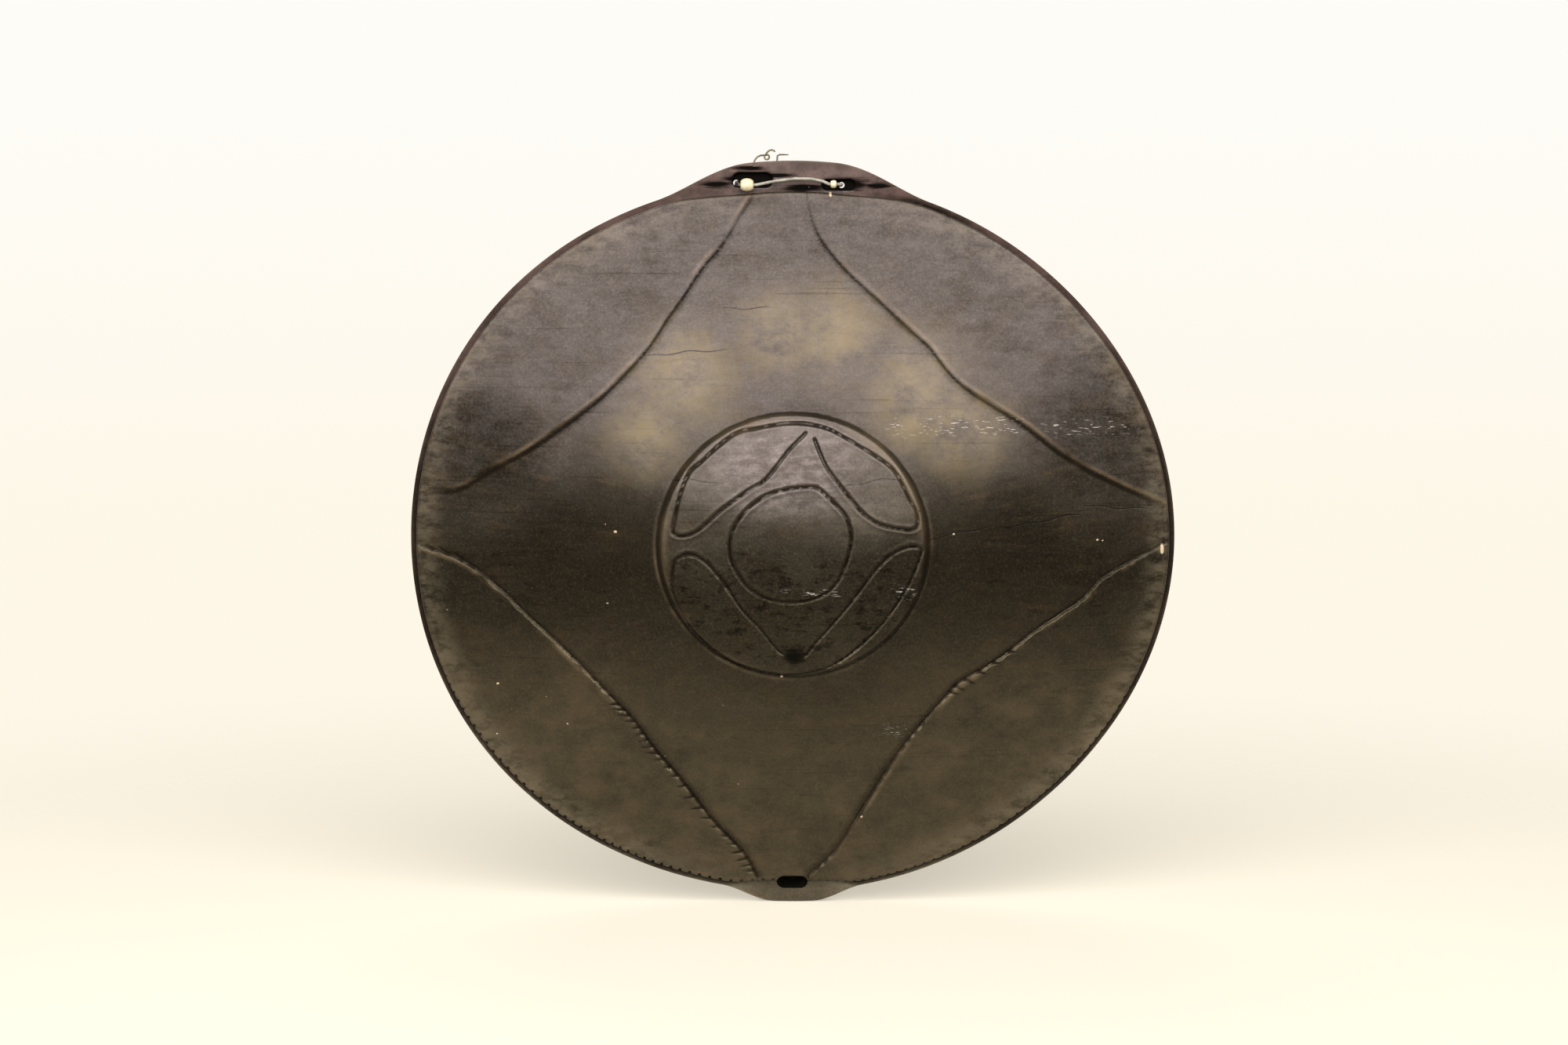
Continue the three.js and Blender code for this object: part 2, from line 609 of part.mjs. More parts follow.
addPiece('shield_body', shieldBody(), blackenedWood);
addPiece('grip_bar', gripBar(), gripWood);
addPiece('grip_lashing_left', gripLashing(-lugMiddle), rawhide);
addPiece('grip_lashing_right', gripLashing(lugMiddle), rawhide);
addPiece('hanging_wire', hangingWire(), palePaint);
addPiece('stop_bead_left', bead(leftBead), creamGlass);
addPiece('stop_bead_right', bead(rightBead), creamGlass);
addPiece('eye_wire', eyeWire(), darkIron);

export default shield;
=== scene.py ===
# A round African shield carved from one block of blackened wood, with a wire to hang it by and a grip behind.
# Sizes are in millimetres: across from the shield's middle, up from the middle of the boss, and forward from
# the flat plane of the rim's back. in_frame() turns them into the shared frame, in metres.
import math

import bmesh
import bpy
import numpy as np
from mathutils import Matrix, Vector


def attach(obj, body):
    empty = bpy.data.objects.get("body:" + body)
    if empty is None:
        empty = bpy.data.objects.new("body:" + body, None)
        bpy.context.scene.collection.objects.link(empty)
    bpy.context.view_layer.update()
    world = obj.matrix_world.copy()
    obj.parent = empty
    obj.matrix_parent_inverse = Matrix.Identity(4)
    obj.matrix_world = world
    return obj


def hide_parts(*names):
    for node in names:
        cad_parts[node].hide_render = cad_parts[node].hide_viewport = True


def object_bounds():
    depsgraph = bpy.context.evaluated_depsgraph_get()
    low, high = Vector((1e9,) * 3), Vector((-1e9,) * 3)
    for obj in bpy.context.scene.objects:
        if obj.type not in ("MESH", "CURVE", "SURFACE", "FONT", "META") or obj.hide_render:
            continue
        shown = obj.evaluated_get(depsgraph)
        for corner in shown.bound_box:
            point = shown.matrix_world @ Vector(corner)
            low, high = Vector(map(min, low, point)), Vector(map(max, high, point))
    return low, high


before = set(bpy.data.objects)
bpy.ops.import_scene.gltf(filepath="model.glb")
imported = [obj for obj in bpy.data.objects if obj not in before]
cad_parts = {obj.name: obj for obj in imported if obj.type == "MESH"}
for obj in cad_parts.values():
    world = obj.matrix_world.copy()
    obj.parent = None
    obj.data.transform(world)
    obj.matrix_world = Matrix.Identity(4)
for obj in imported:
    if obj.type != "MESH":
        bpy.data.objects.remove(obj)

cad_box = [list(corner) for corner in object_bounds()]
millimetre = 0.001

# The carved body
# One block of dense wood, adzed to a bell with a flat boss, then cut with seams, leaf panels and a circle.
# It is blackened and polished by handling, with dust and soot in the cuts and pale wood on worn edges.
# Painted shade darkens its cuts, creases, slots and holes, and painted highlight lightens some crests.

# The outline: an uneven oval with a lip above and a tab below
half_width, half_height = 280, 262
lopsidedness, lopsided_turn = 3, math.radians(10)
lip_rise, lip_half_flat, lip_shoulder = 12.5, 30, 70
tab_drop, tab_half_flat, tab_shoulder = 8, 14, 38
lip_top = half_height + lip_rise
tab_bottom = -half_height - tab_drop
origin_above_centre = lip_top - 4

# Depths in front of the rim's back, the wall, and the rim
boss_face_depth, boss_edge_depth, boss_foot_depth = 104, 94, 88.5
dome_edge_depth, flange_depth, lip_depth = 22, 12, 17
wall_thickness = 12
flange_width, lip_flange_extra, tab_flange_extra = 5, 5.6, 4
rim_back_width, rim_bevel, edge_round = 15, 6, 1.8
dome_fall_power = 1.4

# The boss and the step round it, the lines cut into it, and the seams with their nicks
boss_radius, boss_half_height, boss_crease = 96, 93.5, 1.1
boss_side_roll, boss_top_roll, boss_ramp = 3.6, 1.8, 10
groove_half_width, groove_depth, groove_lip = 1.5, 1.4, 0.15
seam_half_width, seam_foot_depth, seam_rise, lobe_rise = 2.6, 1, 2, 0.9
nick_depth, edge_bites, edge_bite_depth = 0.9, 230, 3.2

# The lip's two slots, the tab's hole, the recess behind the lip and the notch above the recess
left_slot = dict(across=-29.2, up=lip_top - 14, width=28.8, height=10.4)
right_slot = dict(across=33.2, up=lip_top - 17.5, width=23.6, height=7.4)
tab_hole = dict(across=-0.4, up=tab_bottom + 15.3, width=22, height=10)
slot_floor_depth, leg_hole_radius = 12, 2.2
tab_hole_bend, tab_hole_climb, tab_solid_width = flange_depth - edge_round, 0.9, 20
recess_depth, recess_half_width = 9, 52
recess_top, recess_bottom = lip_top - 7.9, lip_top - 36.5
notch_left, notch_right = -31, -8

# How far every cutting solid runs out past the wood
overrun = 20

# Seams round the four outer lobes: angle in degrees, share of the dome's edge radius
seam_shares = {
    "upper_left": [(97, 0.99), (103.3, 0.866), (108.6, 0.8), (114, 0.742), (119.5, 0.7), (126.6, 0.656),
                   (135, 0.636), (144.7, 0.64), (153, 0.674), (162.3, 0.748), (167.2, 0.82), (171.4, 0.89),
                   (172.8, 0.98)],
    "upper_right": [(5.2, 0.985), (9.8, 0.866), (16.9, 0.757), (27.3, 0.686), (39.2, 0.632), (47.1, 0.628),
                    (54.7, 0.652), (61, 0.668), (67.8, 0.697), (74.1, 0.74), (79.4, 0.792), (84.9, 0.876),
                    (87.6, 0.98)],
    "lower_left": [(181.2, 0.985), (183.7, 0.876), (189, 0.79), (196.2, 0.726), (206.7, 0.666),
                   (220.9, 0.645), (229, 0.656), (236.1, 0.69), (244.5, 0.737), (254.2, 0.83), (261.2, 0.914),
                   (263.9, 0.985)],
    "lower_right": [(272.7, 0.985), (277.9, 0.903), (284.6, 0.786), (295.2, 0.672), (303.5, 0.626),
                    (313, 0.6), (319.4, 0.595), (329.8, 0.637), (341.3, 0.704), (348.3, 0.782),
                    (353.5, 0.836), (359.2, 0.985)],
}

# Lines cut into the boss: the outline of the two upper leaves, that of the two lower ones, and the circle
upper_leaves = [(15, 75), (23, 56), (35, 40), (48, 24), (59, 16), (68, 13), (79, 11), (84, 11), (88, 14),
                (87, 24), (82, 33), (74, 49), (67, 57), (52, 67), (35, 77), (23, 83), (8, 86), (-7, 86),
                (-25, 83), (-39, 80), (-52, 71), (-65, 59), (-73, 52), (-79, 38), (-83, 22), (-85, 10),
                (-82, 7), (-75, 7), (-65, 12), (-52, 24), (-33, 38), (-19, 47), (-3, 67), (9, 79)]
lower_leaves = [(-7, -77), (-12, -73), (-23, -59), (-36, -45), (-48, -27), (-59, -14), (-67, -8), (-74, -6),
                (-80, -8), (-84, -12), (-86, -26), (-83, -39), (-73, -57), (-61, -70), (-47, -81),
                (-31, -88), (-12, -92), (1, -92), (28, -85), (52, -67), (68, -49), (82, -27), (90, -7),
                (90, -2), (82, -1), (70, -6), (59, -16), (46, -33), (35, -47), (23, -61), (15, -70),
                (9, -78)]
inner_circle = [(-45, 1), (-43, 10), (-38, 19), (-31, 27), (-20, 35), (-9, 39), (3, 41), (14, 41.5),
                (19, 39.5), (25, 34), (31, 28), (37, 20.5), (40, 12), (41, 4), (39.5, -5), (36, -15),
                (32, -24), (25, -32), (15, -37), (4, -39.5), (-7, -39.5), (-17, -37.5), (-26, -33.5),
                (-34, -27), (-40, -18), (-44, -9), (-45, 1)]

# Unevenness that the tools left: height, length of a swell, and a number that sets its course
tool_marks = [(0.28, 75, 9), (0.05, 27, 1), (0.012, 9, 2)]

# Drying cracks along the grain: left end, right end, and how wide they gape
cracks = [((-84.5, 45.7), (-56.4, 44.6), 0.8), ((36.8, 42.4), (76, 46.8), 0.8),
          ((-107.5, 133.3), (-47.3, 137.8), 0.5), ((-50.4, 167.7), (-15.3, 167.7), 0.4),
          ((94, 4.2), (146, 11), 0.5), ((147.7, 10), (206.9, 18.1), 0.6), ((207.7, 24.5), (261.2, 21.4), 0.6)]

# How far to each side of its middle a crack is worked out
crack_zone = 5

# Bruises down to pale bare wood: across, up, radius
pale_spots = [(221.1, -0.3, 1.6), (225.1, -0.9, 1.3), (114.3, 7, 1.6), (-126.7, 8.2, 1.9), (-134, 13.3, 1.3),
              (-140.2, 18.4, 1.1), (50.3, -203, 1.8), (-132.9, -43.5, 1.5), (-215.4, -105.9, 1.7),
              (-252.2, -52, 1.4), (-164, -134.3, 1.3), (-205.8, -124.6, 1.2), (-216.6, -143.4, 1.4),
              (-179.2, -114.4, 1.2), (-206.4, -37.8, 1.2), (-39.6, -177.4, 1.4), (-50.3, -116.7, 1.2),
              (-92.7, -157, 1.3), (-8, -94, 1.6)]

# Longer chips and smears: across, up, half width, half height
pale_chips = [(269.5, -7.9, 1.8, 5.5), (27.2, 250, 1.6, 3.4), (33, 263.5, 0.5, 5), (-27.6, 270.4, 6, 0.5),
              (12, 255.3, 0.9, 0.9), (18, 250.6, 0.8, 0.8)]

# Rubbed bands with pale dashes: middle up, left end, right end, half height
rubbed_bands = [(83, 62, 175, 6), (81, 175, 250, 5), (-33, -12, 44, 2), (-33, 66, 92, 5), (-136, 62, 88, 5)]

# Dark patches, most of them large ones on the dome's left and right sides: across, up, radius
dark_patches = [(-228, 62, 84), (236, 74, 104), (165, 5, 62), (-165, 0, 55), (201, -45, 4), (-20, -15, 34)]

# Soot round the slots and in one spot low on the boss, with painted shadow along the wire's middle on the lip
# (the two patches at across 8 and -11): across, up, half width, half height
soot_and_shadow_patches = [(-34, lip_top - 14, 30, 9.5), (-56, lip_top - 17, 20, 5), (-32, lip_top - 5.5, 20, 3.4),
                (42, lip_top - 17.5, 26, 8), (62, lip_top - 18, 20, 4.5), (8, lip_top - 20, 24, 5),
                (-11, lip_top - 10.8, 24, 2.8), (1, -79, 14, 9)]

# Patches where the blackening has worn to olive brown, laid over the upper dome beside the boss where it
# catches the most light, so partly painted highlight: across, up, radius
olive_and_highlight_patches = [(-78, 118, 62), (-104, 78, 46), (88, 112, 66), (118, 84, 56), (84, 86, 34), (30, 150, 60),
                 (-10, 150, 50)]


def mix(start, end, share):
    return start + (end - start) * share


def smooth(share):
    share = np.clip(share, 0, 1)
    return share * share * (3 - 2 * share)


def close_to(gap, reach):
    """One on a line, fading smoothly to zero at some distance from it."""
    return 1 - smooth(np.abs(gap) / reach)


def hump(gap, width):
    """One on a line, falling off on both sides like a rubbed ridge."""
    return np.exp(-(gap / width) ** 2)


def upper_half(up):
    """One over the shield's upper half and zero over the lower, with a soft change between."""
    return smooth(up / 100 + 0.5)


def swell(across, half_flat, shoulder):
    """One where the lip or tab is at its full height, fading to zero at the end of its shoulder."""
    return 1 - smooth((np.abs(across) - half_flat) / shoulder)


def rim_along(angle):
    """How much lip and tab there is along a ray, then the radii of the outline and of the dome's edge."""
    oval = 1 / np.hypot(np.cos(angle) / half_width, np.sin(angle) / half_height)
    rim = oval - lopsidedness * np.sin(2 * angle) ** 2 * np.cos(angle + lopsided_turn)
    upward = np.sin(angle) > 0
    lip = np.where(upward, swell(oval * np.cos(angle), lip_half_flat, lip_shoulder), 0)
    tab = np.where(upward, 0, swell(oval * np.cos(angle), tab_half_flat, tab_shoulder))
    outline = rim + lip_rise * lip + tab_drop * tab
    return lip, tab, outline, rim - flange_width - lip_flange_extra * lip - tab_flange_extra * tab


def boss_edge_along(angle):
    """Radius of the boss's oval edge along a ray."""
    return 1 / np.hypot(np.cos(angle) / boss_radius, np.sin(angle) / boss_half_height)


def face_depth(radius, boss_edge, dome_edge, upward=0):
    """Depth of the face before any carving: a low dome for the boss, stepped down at its edge, on the bell.

    The boss's upper edge, where upward is one, is worn to a ramp with a smaller step.
    """
    roll_width = mix(boss_side_roll, boss_top_roll, upward)
    roll = np.clip((radius - boss_edge + roll_width) / roll_width, 0, 1)
    ramp = np.clip((radius - boss_edge + boss_ramp) / boss_ramp, 0, 1)
    boss = mix(boss_face_depth, boss_edge_depth, (radius / boss_edge) ** 2)
    boss = mix(boss, boss_foot_depth, mix(roll ** 1.6, ramp ** 1.3, 0.5 * upward))
    run = np.clip((radius - boss_edge) / (dome_edge - boss_edge), 0, 1)
    dome = mix(dome_edge_depth, boss_foot_depth, (1 - run) ** dome_fall_power)
    return np.where(radius < boss_edge, boss, dome)


def back_depth(radius, boss_edge, dome_edge):
    """Depth of the hollowed back, which follows the face at the wall's thickness."""
    near = np.maximum(radius, boss_edge)
    slope = face_depth(near, boss_edge, dome_edge) - face_depth(near + 1, boss_edge, dome_edge)
    bowl = mix(boss_face_depth, boss_foot_depth, np.minimum(radius / boss_edge, 1) ** 2)
    face = np.where(radius < boss_edge, bowl, face_depth(radius, boss_edge, dome_edge))
    return face - wall_thickness * np.hypot(1, slope)


def ripple(across, up, wavelength, seed, waves=7):
    """Irregular swell, mostly between -1 and 1, that is the same on every run."""
    total = np.zeros_like(across)
    for wave in range(waves):
        turn = 2.4 * wave + seed
        length = wavelength * (0.7 + 0.6 * ((0.618 * wave + 0.37 * seed) % 1))
        total += np.sin((across * math.cos(turn) + up * math.sin(turn)) * 2 * math.pi / length + 5 * turn)
    return total / math.sqrt(waves)


def curve_through(points, closed=False, steps=6):
    """Smooth line through points, with some steps between each two."""
    points = np.array(points, float)
    ends = (points[-1:], points[:2]) if closed else (points[:1], points[-1:])
    held = np.vstack([ends[0], points, ends[1]])
    share = np.arange(steps)[:, None] / steps
    line = []
    for a, b, c, d in zip(held, held[1:], held[2:], held[3:]):
        bend = (a - 2.5 * b + 2 * c - d / 2) * share ** 2
        line.append(b + (c - a) / 2 * share + bend + (1.5 * (b - c) + (d - a) / 2) * share ** 3)
    return np.vstack([*line, held[-2:-1]])


def distance_to(line, across, up):
    """Distance from each place to the nearest point of a line made of short straight stretches."""
    nearest = np.full(across.shape, 1e3)
    for (start_across, start_up), (end_across, end_up) in zip(line[:-1], line[1:]):
        run_across, run_up = end_across - start_across, end_up - start_up
        along = (across - start_across) * run_across + (up - start_up) * run_up
        along = np.clip(along / (run_across ** 2 + run_up ** 2), 0, 1)
        apart = np.hypot(across - start_across - along * run_across, up - start_up - along * run_up)
        nearest = np.minimum(nearest, apart)
    return nearest


def slot_distance(hole, across, up):
    """Distance outside the outline of a round-ended slot."""
    reach = (hole["width"] - hole["height"]) / 2
    beyond = np.maximum(np.abs(across - hole["across"]) - reach, 0)
    return np.hypot(beyond, up - hole["up"]) - hole["height"] / 2


def seam_line(table):
    """Line of a seam on the dome, in millimetres."""
    angle = np.radians([row[0] for row in table])
    radius = rim_along(angle)[-1] * np.array([row[1] for row in table])
    return curve_through(np.column_stack([radius * np.cos(angle), radius * np.sin(angle)]))


seam_lines = {name: seam_line(table) for name, table in seam_shares.items()}


def nicks_along(line, first_share, last_share, count, lean):
    """Short wedge cuts that leave a seam sideways, as root, tip and width at the root."""
    made = []
    for number in range(count):
        place = mix(first_share, last_share, number / (count - 1)) * (len(line) - 1)
        spot = int(place)
        root = mix(line[spot], line[spot + 1], place - spot)
        length = 7.5 + 2 * math.sin(7.3 * number)
        width = 2.3 + 0.5 * math.sin(4.1 * number)
        turn = lean + 0.16 * math.sin(11.7 * number)
        made.append((root, root + length * np.array([math.cos(turn), math.sin(turn)]), width))
    return made


# Which stretch of a seam has nicks, how many, and which way they point
nicks = nicks_along(seam_lines["lower_left"], 0.475, 0.97, 23, math.radians(184))
nicks += nicks_along(seam_lines["lower_left"], 0.03, 0.12, 4, math.radians(150))
nicks += nicks_along(seam_lines["lower_right"], 0.5, 0.66, 6, math.radians(-20))


def nick_cut(across, up):
    """How deeply the wedge cuts bite at each place, from zero to one."""
    bite = np.zeros_like(across)
    for root, tip, half_width_at_root in nicks:
        near = np.flatnonzero(np.hypot(across - root[0], up - root[1]) < 14)
        run = tip - root
        along = ((across[near] - root[0]) * run[0] + (up[near] - root[1]) * run[1]) / (run @ run)
        aside = np.abs((across[near] - root[0]) * run[1] - (up[near] - root[1]) * run[0])
        aside = aside / math.sqrt(run @ run)
        half = mix(half_width_at_root, 0.9, np.clip(along, 0, 1))
        ends = smooth((along + 0.25) / 0.25) * smooth((1.2 - along) / 0.6)
        bite[near] = np.maximum(bite[near], close_to(aside, half) * ends)
    return bite


def carving(across, up):
    """Distances from every place on the face to the lines cut into it."""
    radius, angle = np.hypot(across, up), np.arctan2(up, across) % (2 * math.pi)
    lip, _, outline, dome_edge = rim_along(angle)
    boss_edge = boss_edge_along(angle)
    seam = np.full(across.shape, -1e3)
    lobe_share = np.zeros_like(across)
    outer = np.flatnonzero(radius > 1.1 * boss_radius)
    turn = np.degrees(angle[outer])
    for name, table in seam_shares.items():
        line = seam_lines[name]
        line_turn = np.degrees(np.arctan2(line[:, 1], line[:, 0])) % 360
        seam_radius = np.interp(turn, line_turn, np.hypot(line[:, 0], line[:, 1]))
        inside = (turn > line_turn[0]) & (turn < line_turn[-1]) & (radius[outer] > seam_radius)
        apart = distance_to(line, across[outer], up[outer])
        signed = np.where(inside, apart, -apart)
        closer = np.abs(signed) < np.abs(seam[outer])
        seam[outer] = np.where(closer, signed, seam[outer])
        share = (radius[outer] - seam_radius) / (dome_edge[outer] - seam_radius)
        lobe_share[outer] = np.where(inside, share, lobe_share[outer])
    line_gap = np.full(across.shape, 1e3)
    middle = np.flatnonzero(radius < boss_radius)
    for line in (upper_leaves, lower_leaves, inner_circle):
        drawn = curve_through(line, closed=line is inner_circle, steps=4)
        line_gap[middle] = np.minimum(line_gap[middle], distance_to(drawn, across[middle], up[middle]))
    holes = np.minimum.reduce([slot_distance(hole, across, up) for hole in (left_slot, right_slot, tab_hole)])
    return dict(radius=radius, angle=angle, lip=lip, outline=outline, dome_edge=dome_edge,
                boss_edge=boss_edge, seam=seam, lobe_share=lobe_share, line_gap=line_gap,
                nick=nick_cut(across, up), hole=holes)


def nicked_foot(across, up):
    """One along the lower left seam's foot, where the nicks are, fading to zero above it."""
    return (up < 0) * (across < 0) * (1 - smooth((-across - 100) / 40))


def rounding_drop(gap):
    """How far a rounded edge falls away near a hole."""
    drop = np.clip(1 - gap / edge_round, 0, 1)
    return edge_round * (1 - np.sqrt(1 - drop ** 2))


def carved_relief(lines, across, up):
    """Height that the carving and the tool marks add to the bare face."""
    wander = 0.35 * ripple(across, up, 22, 3)
    seam = lines["seam"] + wander + 0.3 * ripple(across, up, 8, 5) * (up < 0)
    rise = mix(seam_rise, lobe_rise, np.sqrt(np.clip(lines["lobe_share"], 0, 1)))
    low_rise = 0.7 * rise * mix(1, 0.5, nicked_foot(across, up))
    groove = np.where(seam < 0, -seam_foot_depth * smooth(1 + seam / (2 * seam_half_width)),
                      mix(-seam_foot_depth, low_rise, smooth(seam / (0.7 * seam_half_width))))
    step = rise * smooth((seam / seam_half_width + 1) / 2.4)
    relief = mix(groove, step, upper_half(up))
    gap = lines["line_gap"] + 0.3 * wander
    relief = relief - groove_depth * (1 - smooth(gap / groove_half_width))
    relief = relief + groove_lip * hump(gap - 1.6 * groove_half_width, 1.3)
    crease = boss_crease * (1 - smooth(up / boss_half_height + 0.3))
    relief = relief - crease * hump(lines["radius"] - lines["boss_edge"] - 0.6, 1.5)
    relief = relief - nick_depth * lines["nick"]
    for height, wavelength, seed in tool_marks:
        relief = relief + height * ripple(across, up, wavelength, seed)
    return relief - rounding_drop(lines["hole"])


def in_frame(points):
    points = np.asarray(points, float)
    return np.column_stack([points[:, 0], -points[:, 2], points[:, 1] - origin_above_centre]) * millimetre


def put_in_scene(name, data):
    made = bpy.data.objects.new(name, data)
    bpy.context.scene.collection.objects.link(made)
    return made


def new_piece(name, points, faces):
    """Object from points given across, up and forward, shaded smooth."""
    mesh = bpy.data.meshes.new(name)
    mesh.from_pydata(in_frame(points).tolist(), [], faces)
    mesh.shade_smooth()
    return put_in_scene(name, mesh)


def between_rings(first, second):
    """Four-sided faces between two rings of equally many points."""
    return np.column_stack([first, second, np.roll(second, -1), np.roll(first, -1)]).tolist()


def rounded_corners(corners, bend, steps):
    """Section whose inner corners, each an array of radius and depth along every ray, are bent to arcs."""
    rings = [corners[0]]
    for before, corner, after in zip(corners, corners[1:], corners[2:]):
        ends = []
        for other in (before, after):
            away = other - corner
            length = np.maximum(np.hypot(away[:, 0], away[:, 1]), 1e-6)[:, None]
            ends.append(corner + away / length * np.minimum(bend, 0.45 * length))
        for share in np.linspace(0, 1, steps):
            rings.append(mix(mix(ends[0], corner, share), mix(corner, ends[1], share), share))
    return rings + [corners[-1]]


# The face is a square grid squeezed into the dome's outline, so that its cells are alike all over
cells, flange_rings, back_rings, coarser = 512, 22, 90, 4
side = np.linspace(-1, 1, cells + 1)
grid_first, grid_second = [grid.ravel() for grid in np.meshgrid(side, side, indexing="ij")]
steep = np.abs(grid_first) > np.abs(grid_second)
reach = np.where(steep, grid_first, grid_second)
reach_or_one = np.where(reach == 0, 1, reach)
grid_turn = np.where(steep, grid_second / reach_or_one, 2 - grid_first / reach_or_one) * math.pi / 4
grid_angle = np.arctan2(reach * np.sin(grid_turn), reach * np.cos(grid_turn))
grid_radius = np.abs(reach) * (rim_along(grid_angle)[-1] - edge_round)
face_across, face_up = grid_radius * np.cos(grid_angle), grid_radius * np.sin(grid_angle)
face_lines = carving(face_across, face_up)
upward = smooth(1.6 * np.sin(grid_angle) - 0.4)
bare_face = face_depth(grid_radius, face_lines["boss_edge"], face_lines["dome_edge"], upward)
face_points = np.column_stack([face_across, face_up, bare_face
                               + carved_relief(face_lines, face_across, face_up)])
spots = np.arange((cells + 1) ** 2).reshape(cells + 1, cells + 1)
body_faces = np.column_stack([grid.ravel() for grid in (spots[:-1, :-1], spots[1:, :-1], spots[1:, 1:],
                                                        spots[:-1, 1:])]).tolist()
edge_spots = np.concatenate([spots[cells, :cells], spots[:0:-1, cells], spots[0, :0:-1], spots[:cells, 0]])

# The rim runs on from the grid's edge: down the dome's wall, over the flange, round the edge and back in
rim_angle = np.arctan2(face_up[edge_spots], face_across[edge_spots])
lip, tab, outline, dome_edge = rim_along(rim_angle)

# Small bites out of the dome's edge, low down and deeper on the left
bite_wave = np.cos(edge_bites * rim_angle + 3 * np.sin(9 * rim_angle))
lower = smooth((-np.sin(rim_angle) - 0.25) / 0.3) * (0.45 + 0.55 * (np.cos(rim_angle) < 0))
edge_bite = np.clip(bite_wave - 0.35, 0, 1) * edge_bite_depth * lower

# The section from the dome's edge round to the back, one row of radius and depth for every ray
rim_front = mix(flange_depth, lip_depth, lip)
inner_rim = outline - rim_back_width - lip_rise * lip / 2 - tab_solid_width * tab
edge_depth = face_points[edge_spots, 2]
uneven = 0.5 * ripple(outline * np.cos(rim_angle), outline * np.sin(rim_angle), 60, 4)
wall_foot = np.column_stack([dome_edge + 0.5, rim_front - edge_round])
flange_end = np.column_stack([outline, rim_front + 0.3 * uneven])
section = [
    np.column_stack([dome_edge - edge_round, edge_depth]),
    np.column_stack([dome_edge - edge_bite, edge_depth - 0.6]),
    wall_foot,
    *[mix(wall_foot, flange_end, share) for share in np.linspace(0, 1, flange_rings)[1:-1]],
    flange_end,
    np.column_stack([outline, 0 * outline]),
    np.column_stack([inner_rim, 0 * outline]),
    np.column_stack([inner_rim - rim_bevel, back_depth(inner_rim - rim_bevel, boss_radius, dome_edge)]),
]
rim_rings = rounded_corners(section, edge_round, 4)[1:]
rim_points = []
for ring in rim_rings:
    across, up, depth = ring[:, 0] * np.cos(rim_angle), ring[:, 0] * np.sin(rim_angle), ring[:, 1].copy()
    on_flange = (ring[:, 0] > dome_edge + 1) & (depth > 0.7 * rim_front)
    hole_gap = np.minimum(slot_distance(left_slot, across, up), slot_distance(right_slot, across, up))
    depth -= on_flange * rounding_drop(hole_gap)
    rim_points.append(np.column_stack([across, up, depth]))
body_points = np.vstack([face_points, *rim_points])
ring_size = 4 * cells
first_ring = edge_spots
for number in range(len(rim_rings)):
    next_ring = len(face_points) + number * ring_size + np.arange(ring_size)
    body_faces += between_rings(first_ring, next_ring)
    first_ring = next_ring

# The hollow back has fewer rays, with the scallops that a curved adze left
coarse_angle = rim_angle[::coarser]
coarse_count = len(coarse_angle)
coarse_inner = (inner_rim - rim_bevel)[::coarser]
back_points = []
for ring in range(1, back_rings):
    radius = coarse_inner * (1 - ring / back_rings)
    across, up = radius * np.cos(coarse_angle), radius * np.sin(coarse_angle)
    scallop = np.abs(np.sin(across / 9 + 0.8 * ripple(across, up, 50, 6)))
    scallop = scallop * np.abs(np.sin(up / 17 + 1.1 * ripple(across, up, 70, 7)))
    fade_in = smooth(ring / 5)
    depth = back_depth(radius, boss_edge_along(coarse_angle), rim_along(coarse_angle)[-1])
    depth = depth + fade_in * (1.3 * scallop - 0.5)
    back_points.append(np.column_stack([across, up, depth]))
start = len(body_points)
middle_spot = start + (back_rings - 1) * coarse_count
body_points = np.vstack([body_points, *back_points, [[0, 0, back_points[-1][:, 2].mean()]]])
fine = first_ring.reshape(coarse_count, coarser)
fine_next = np.roll(first_ring, -coarser).reshape(coarse_count, coarser)[:, :1]
ring_spots = start + np.arange(coarse_count)
body_faces += np.column_stack([fine[:, :1], ring_spots, np.roll(ring_spots, -1), fine_next,
                               fine[:, ::-1][:, :-1]]).tolist()
for ring in range(1, back_rings - 1):
    body_faces += between_rings(ring_spots, ring_spots + coarse_count)
    ring_spots = ring_spots + coarse_count
middle_fan = [ring_spots, np.full(coarse_count, middle_spot), np.roll(ring_spots, -1)]
body_faces += np.column_stack(middle_fan).tolist()
shield_body = new_piece("shield_body_carved", body_points, body_faces)

# Lugs left standing on the back carry the grip in saddles, with a slot through each for the thong
grip_axis_depth, tenon_radius, clearance = 36, 9, 0.3
lug_middle, lug_thickness, lug_half_width, lug_flare, saddle_wall_rise = 79, 24, 9, 6, 5
thong_diameter, thong_pitch, thong_loops = 3.4, 4.1, 4
slot_depth_middle = grip_axis_depth + tenon_radius + clearance + 7
slot_length = thong_pitch * thong_loops + thong_diameter + 2 * clearance
slot_height = thong_diameter + 5 * clearance
lug_bedding, lug_edge_round = 6, 1.2


def faced_outward(piece):
    """The piece, once all its faces are turned to look out of it."""
    shape = bmesh.new()
    shape.from_mesh(piece.data)
    bmesh.ops.recalc_face_normals(shape, faces=shape.faces)
    shape.to_mesh(piece.data)
    shape.free()
    return piece


def prism(name, outline, near, far, along, climb=0.0):
    """Closed solid from an outline, pushed along one of the three directions (0 across, 1 up, 2 forward).

    With a climb, the near end stands higher by that share of the length.
    """
    outline = np.array(outline, float)
    points = [np.insert(outline + [0, climb * (far - near)], along, near, axis=1),
              np.insert(outline, along, far, axis=1)]
    count = len(outline)
    faces = [list(range(count)), list(range(2 * count - 1, count - 1, -1))]
    faces += [[spot, spot + count, (spot + 1) % count + count, (spot + 1) % count] for spot in range(count)]
    return faced_outward(new_piece(name, np.vstack(points), faces))


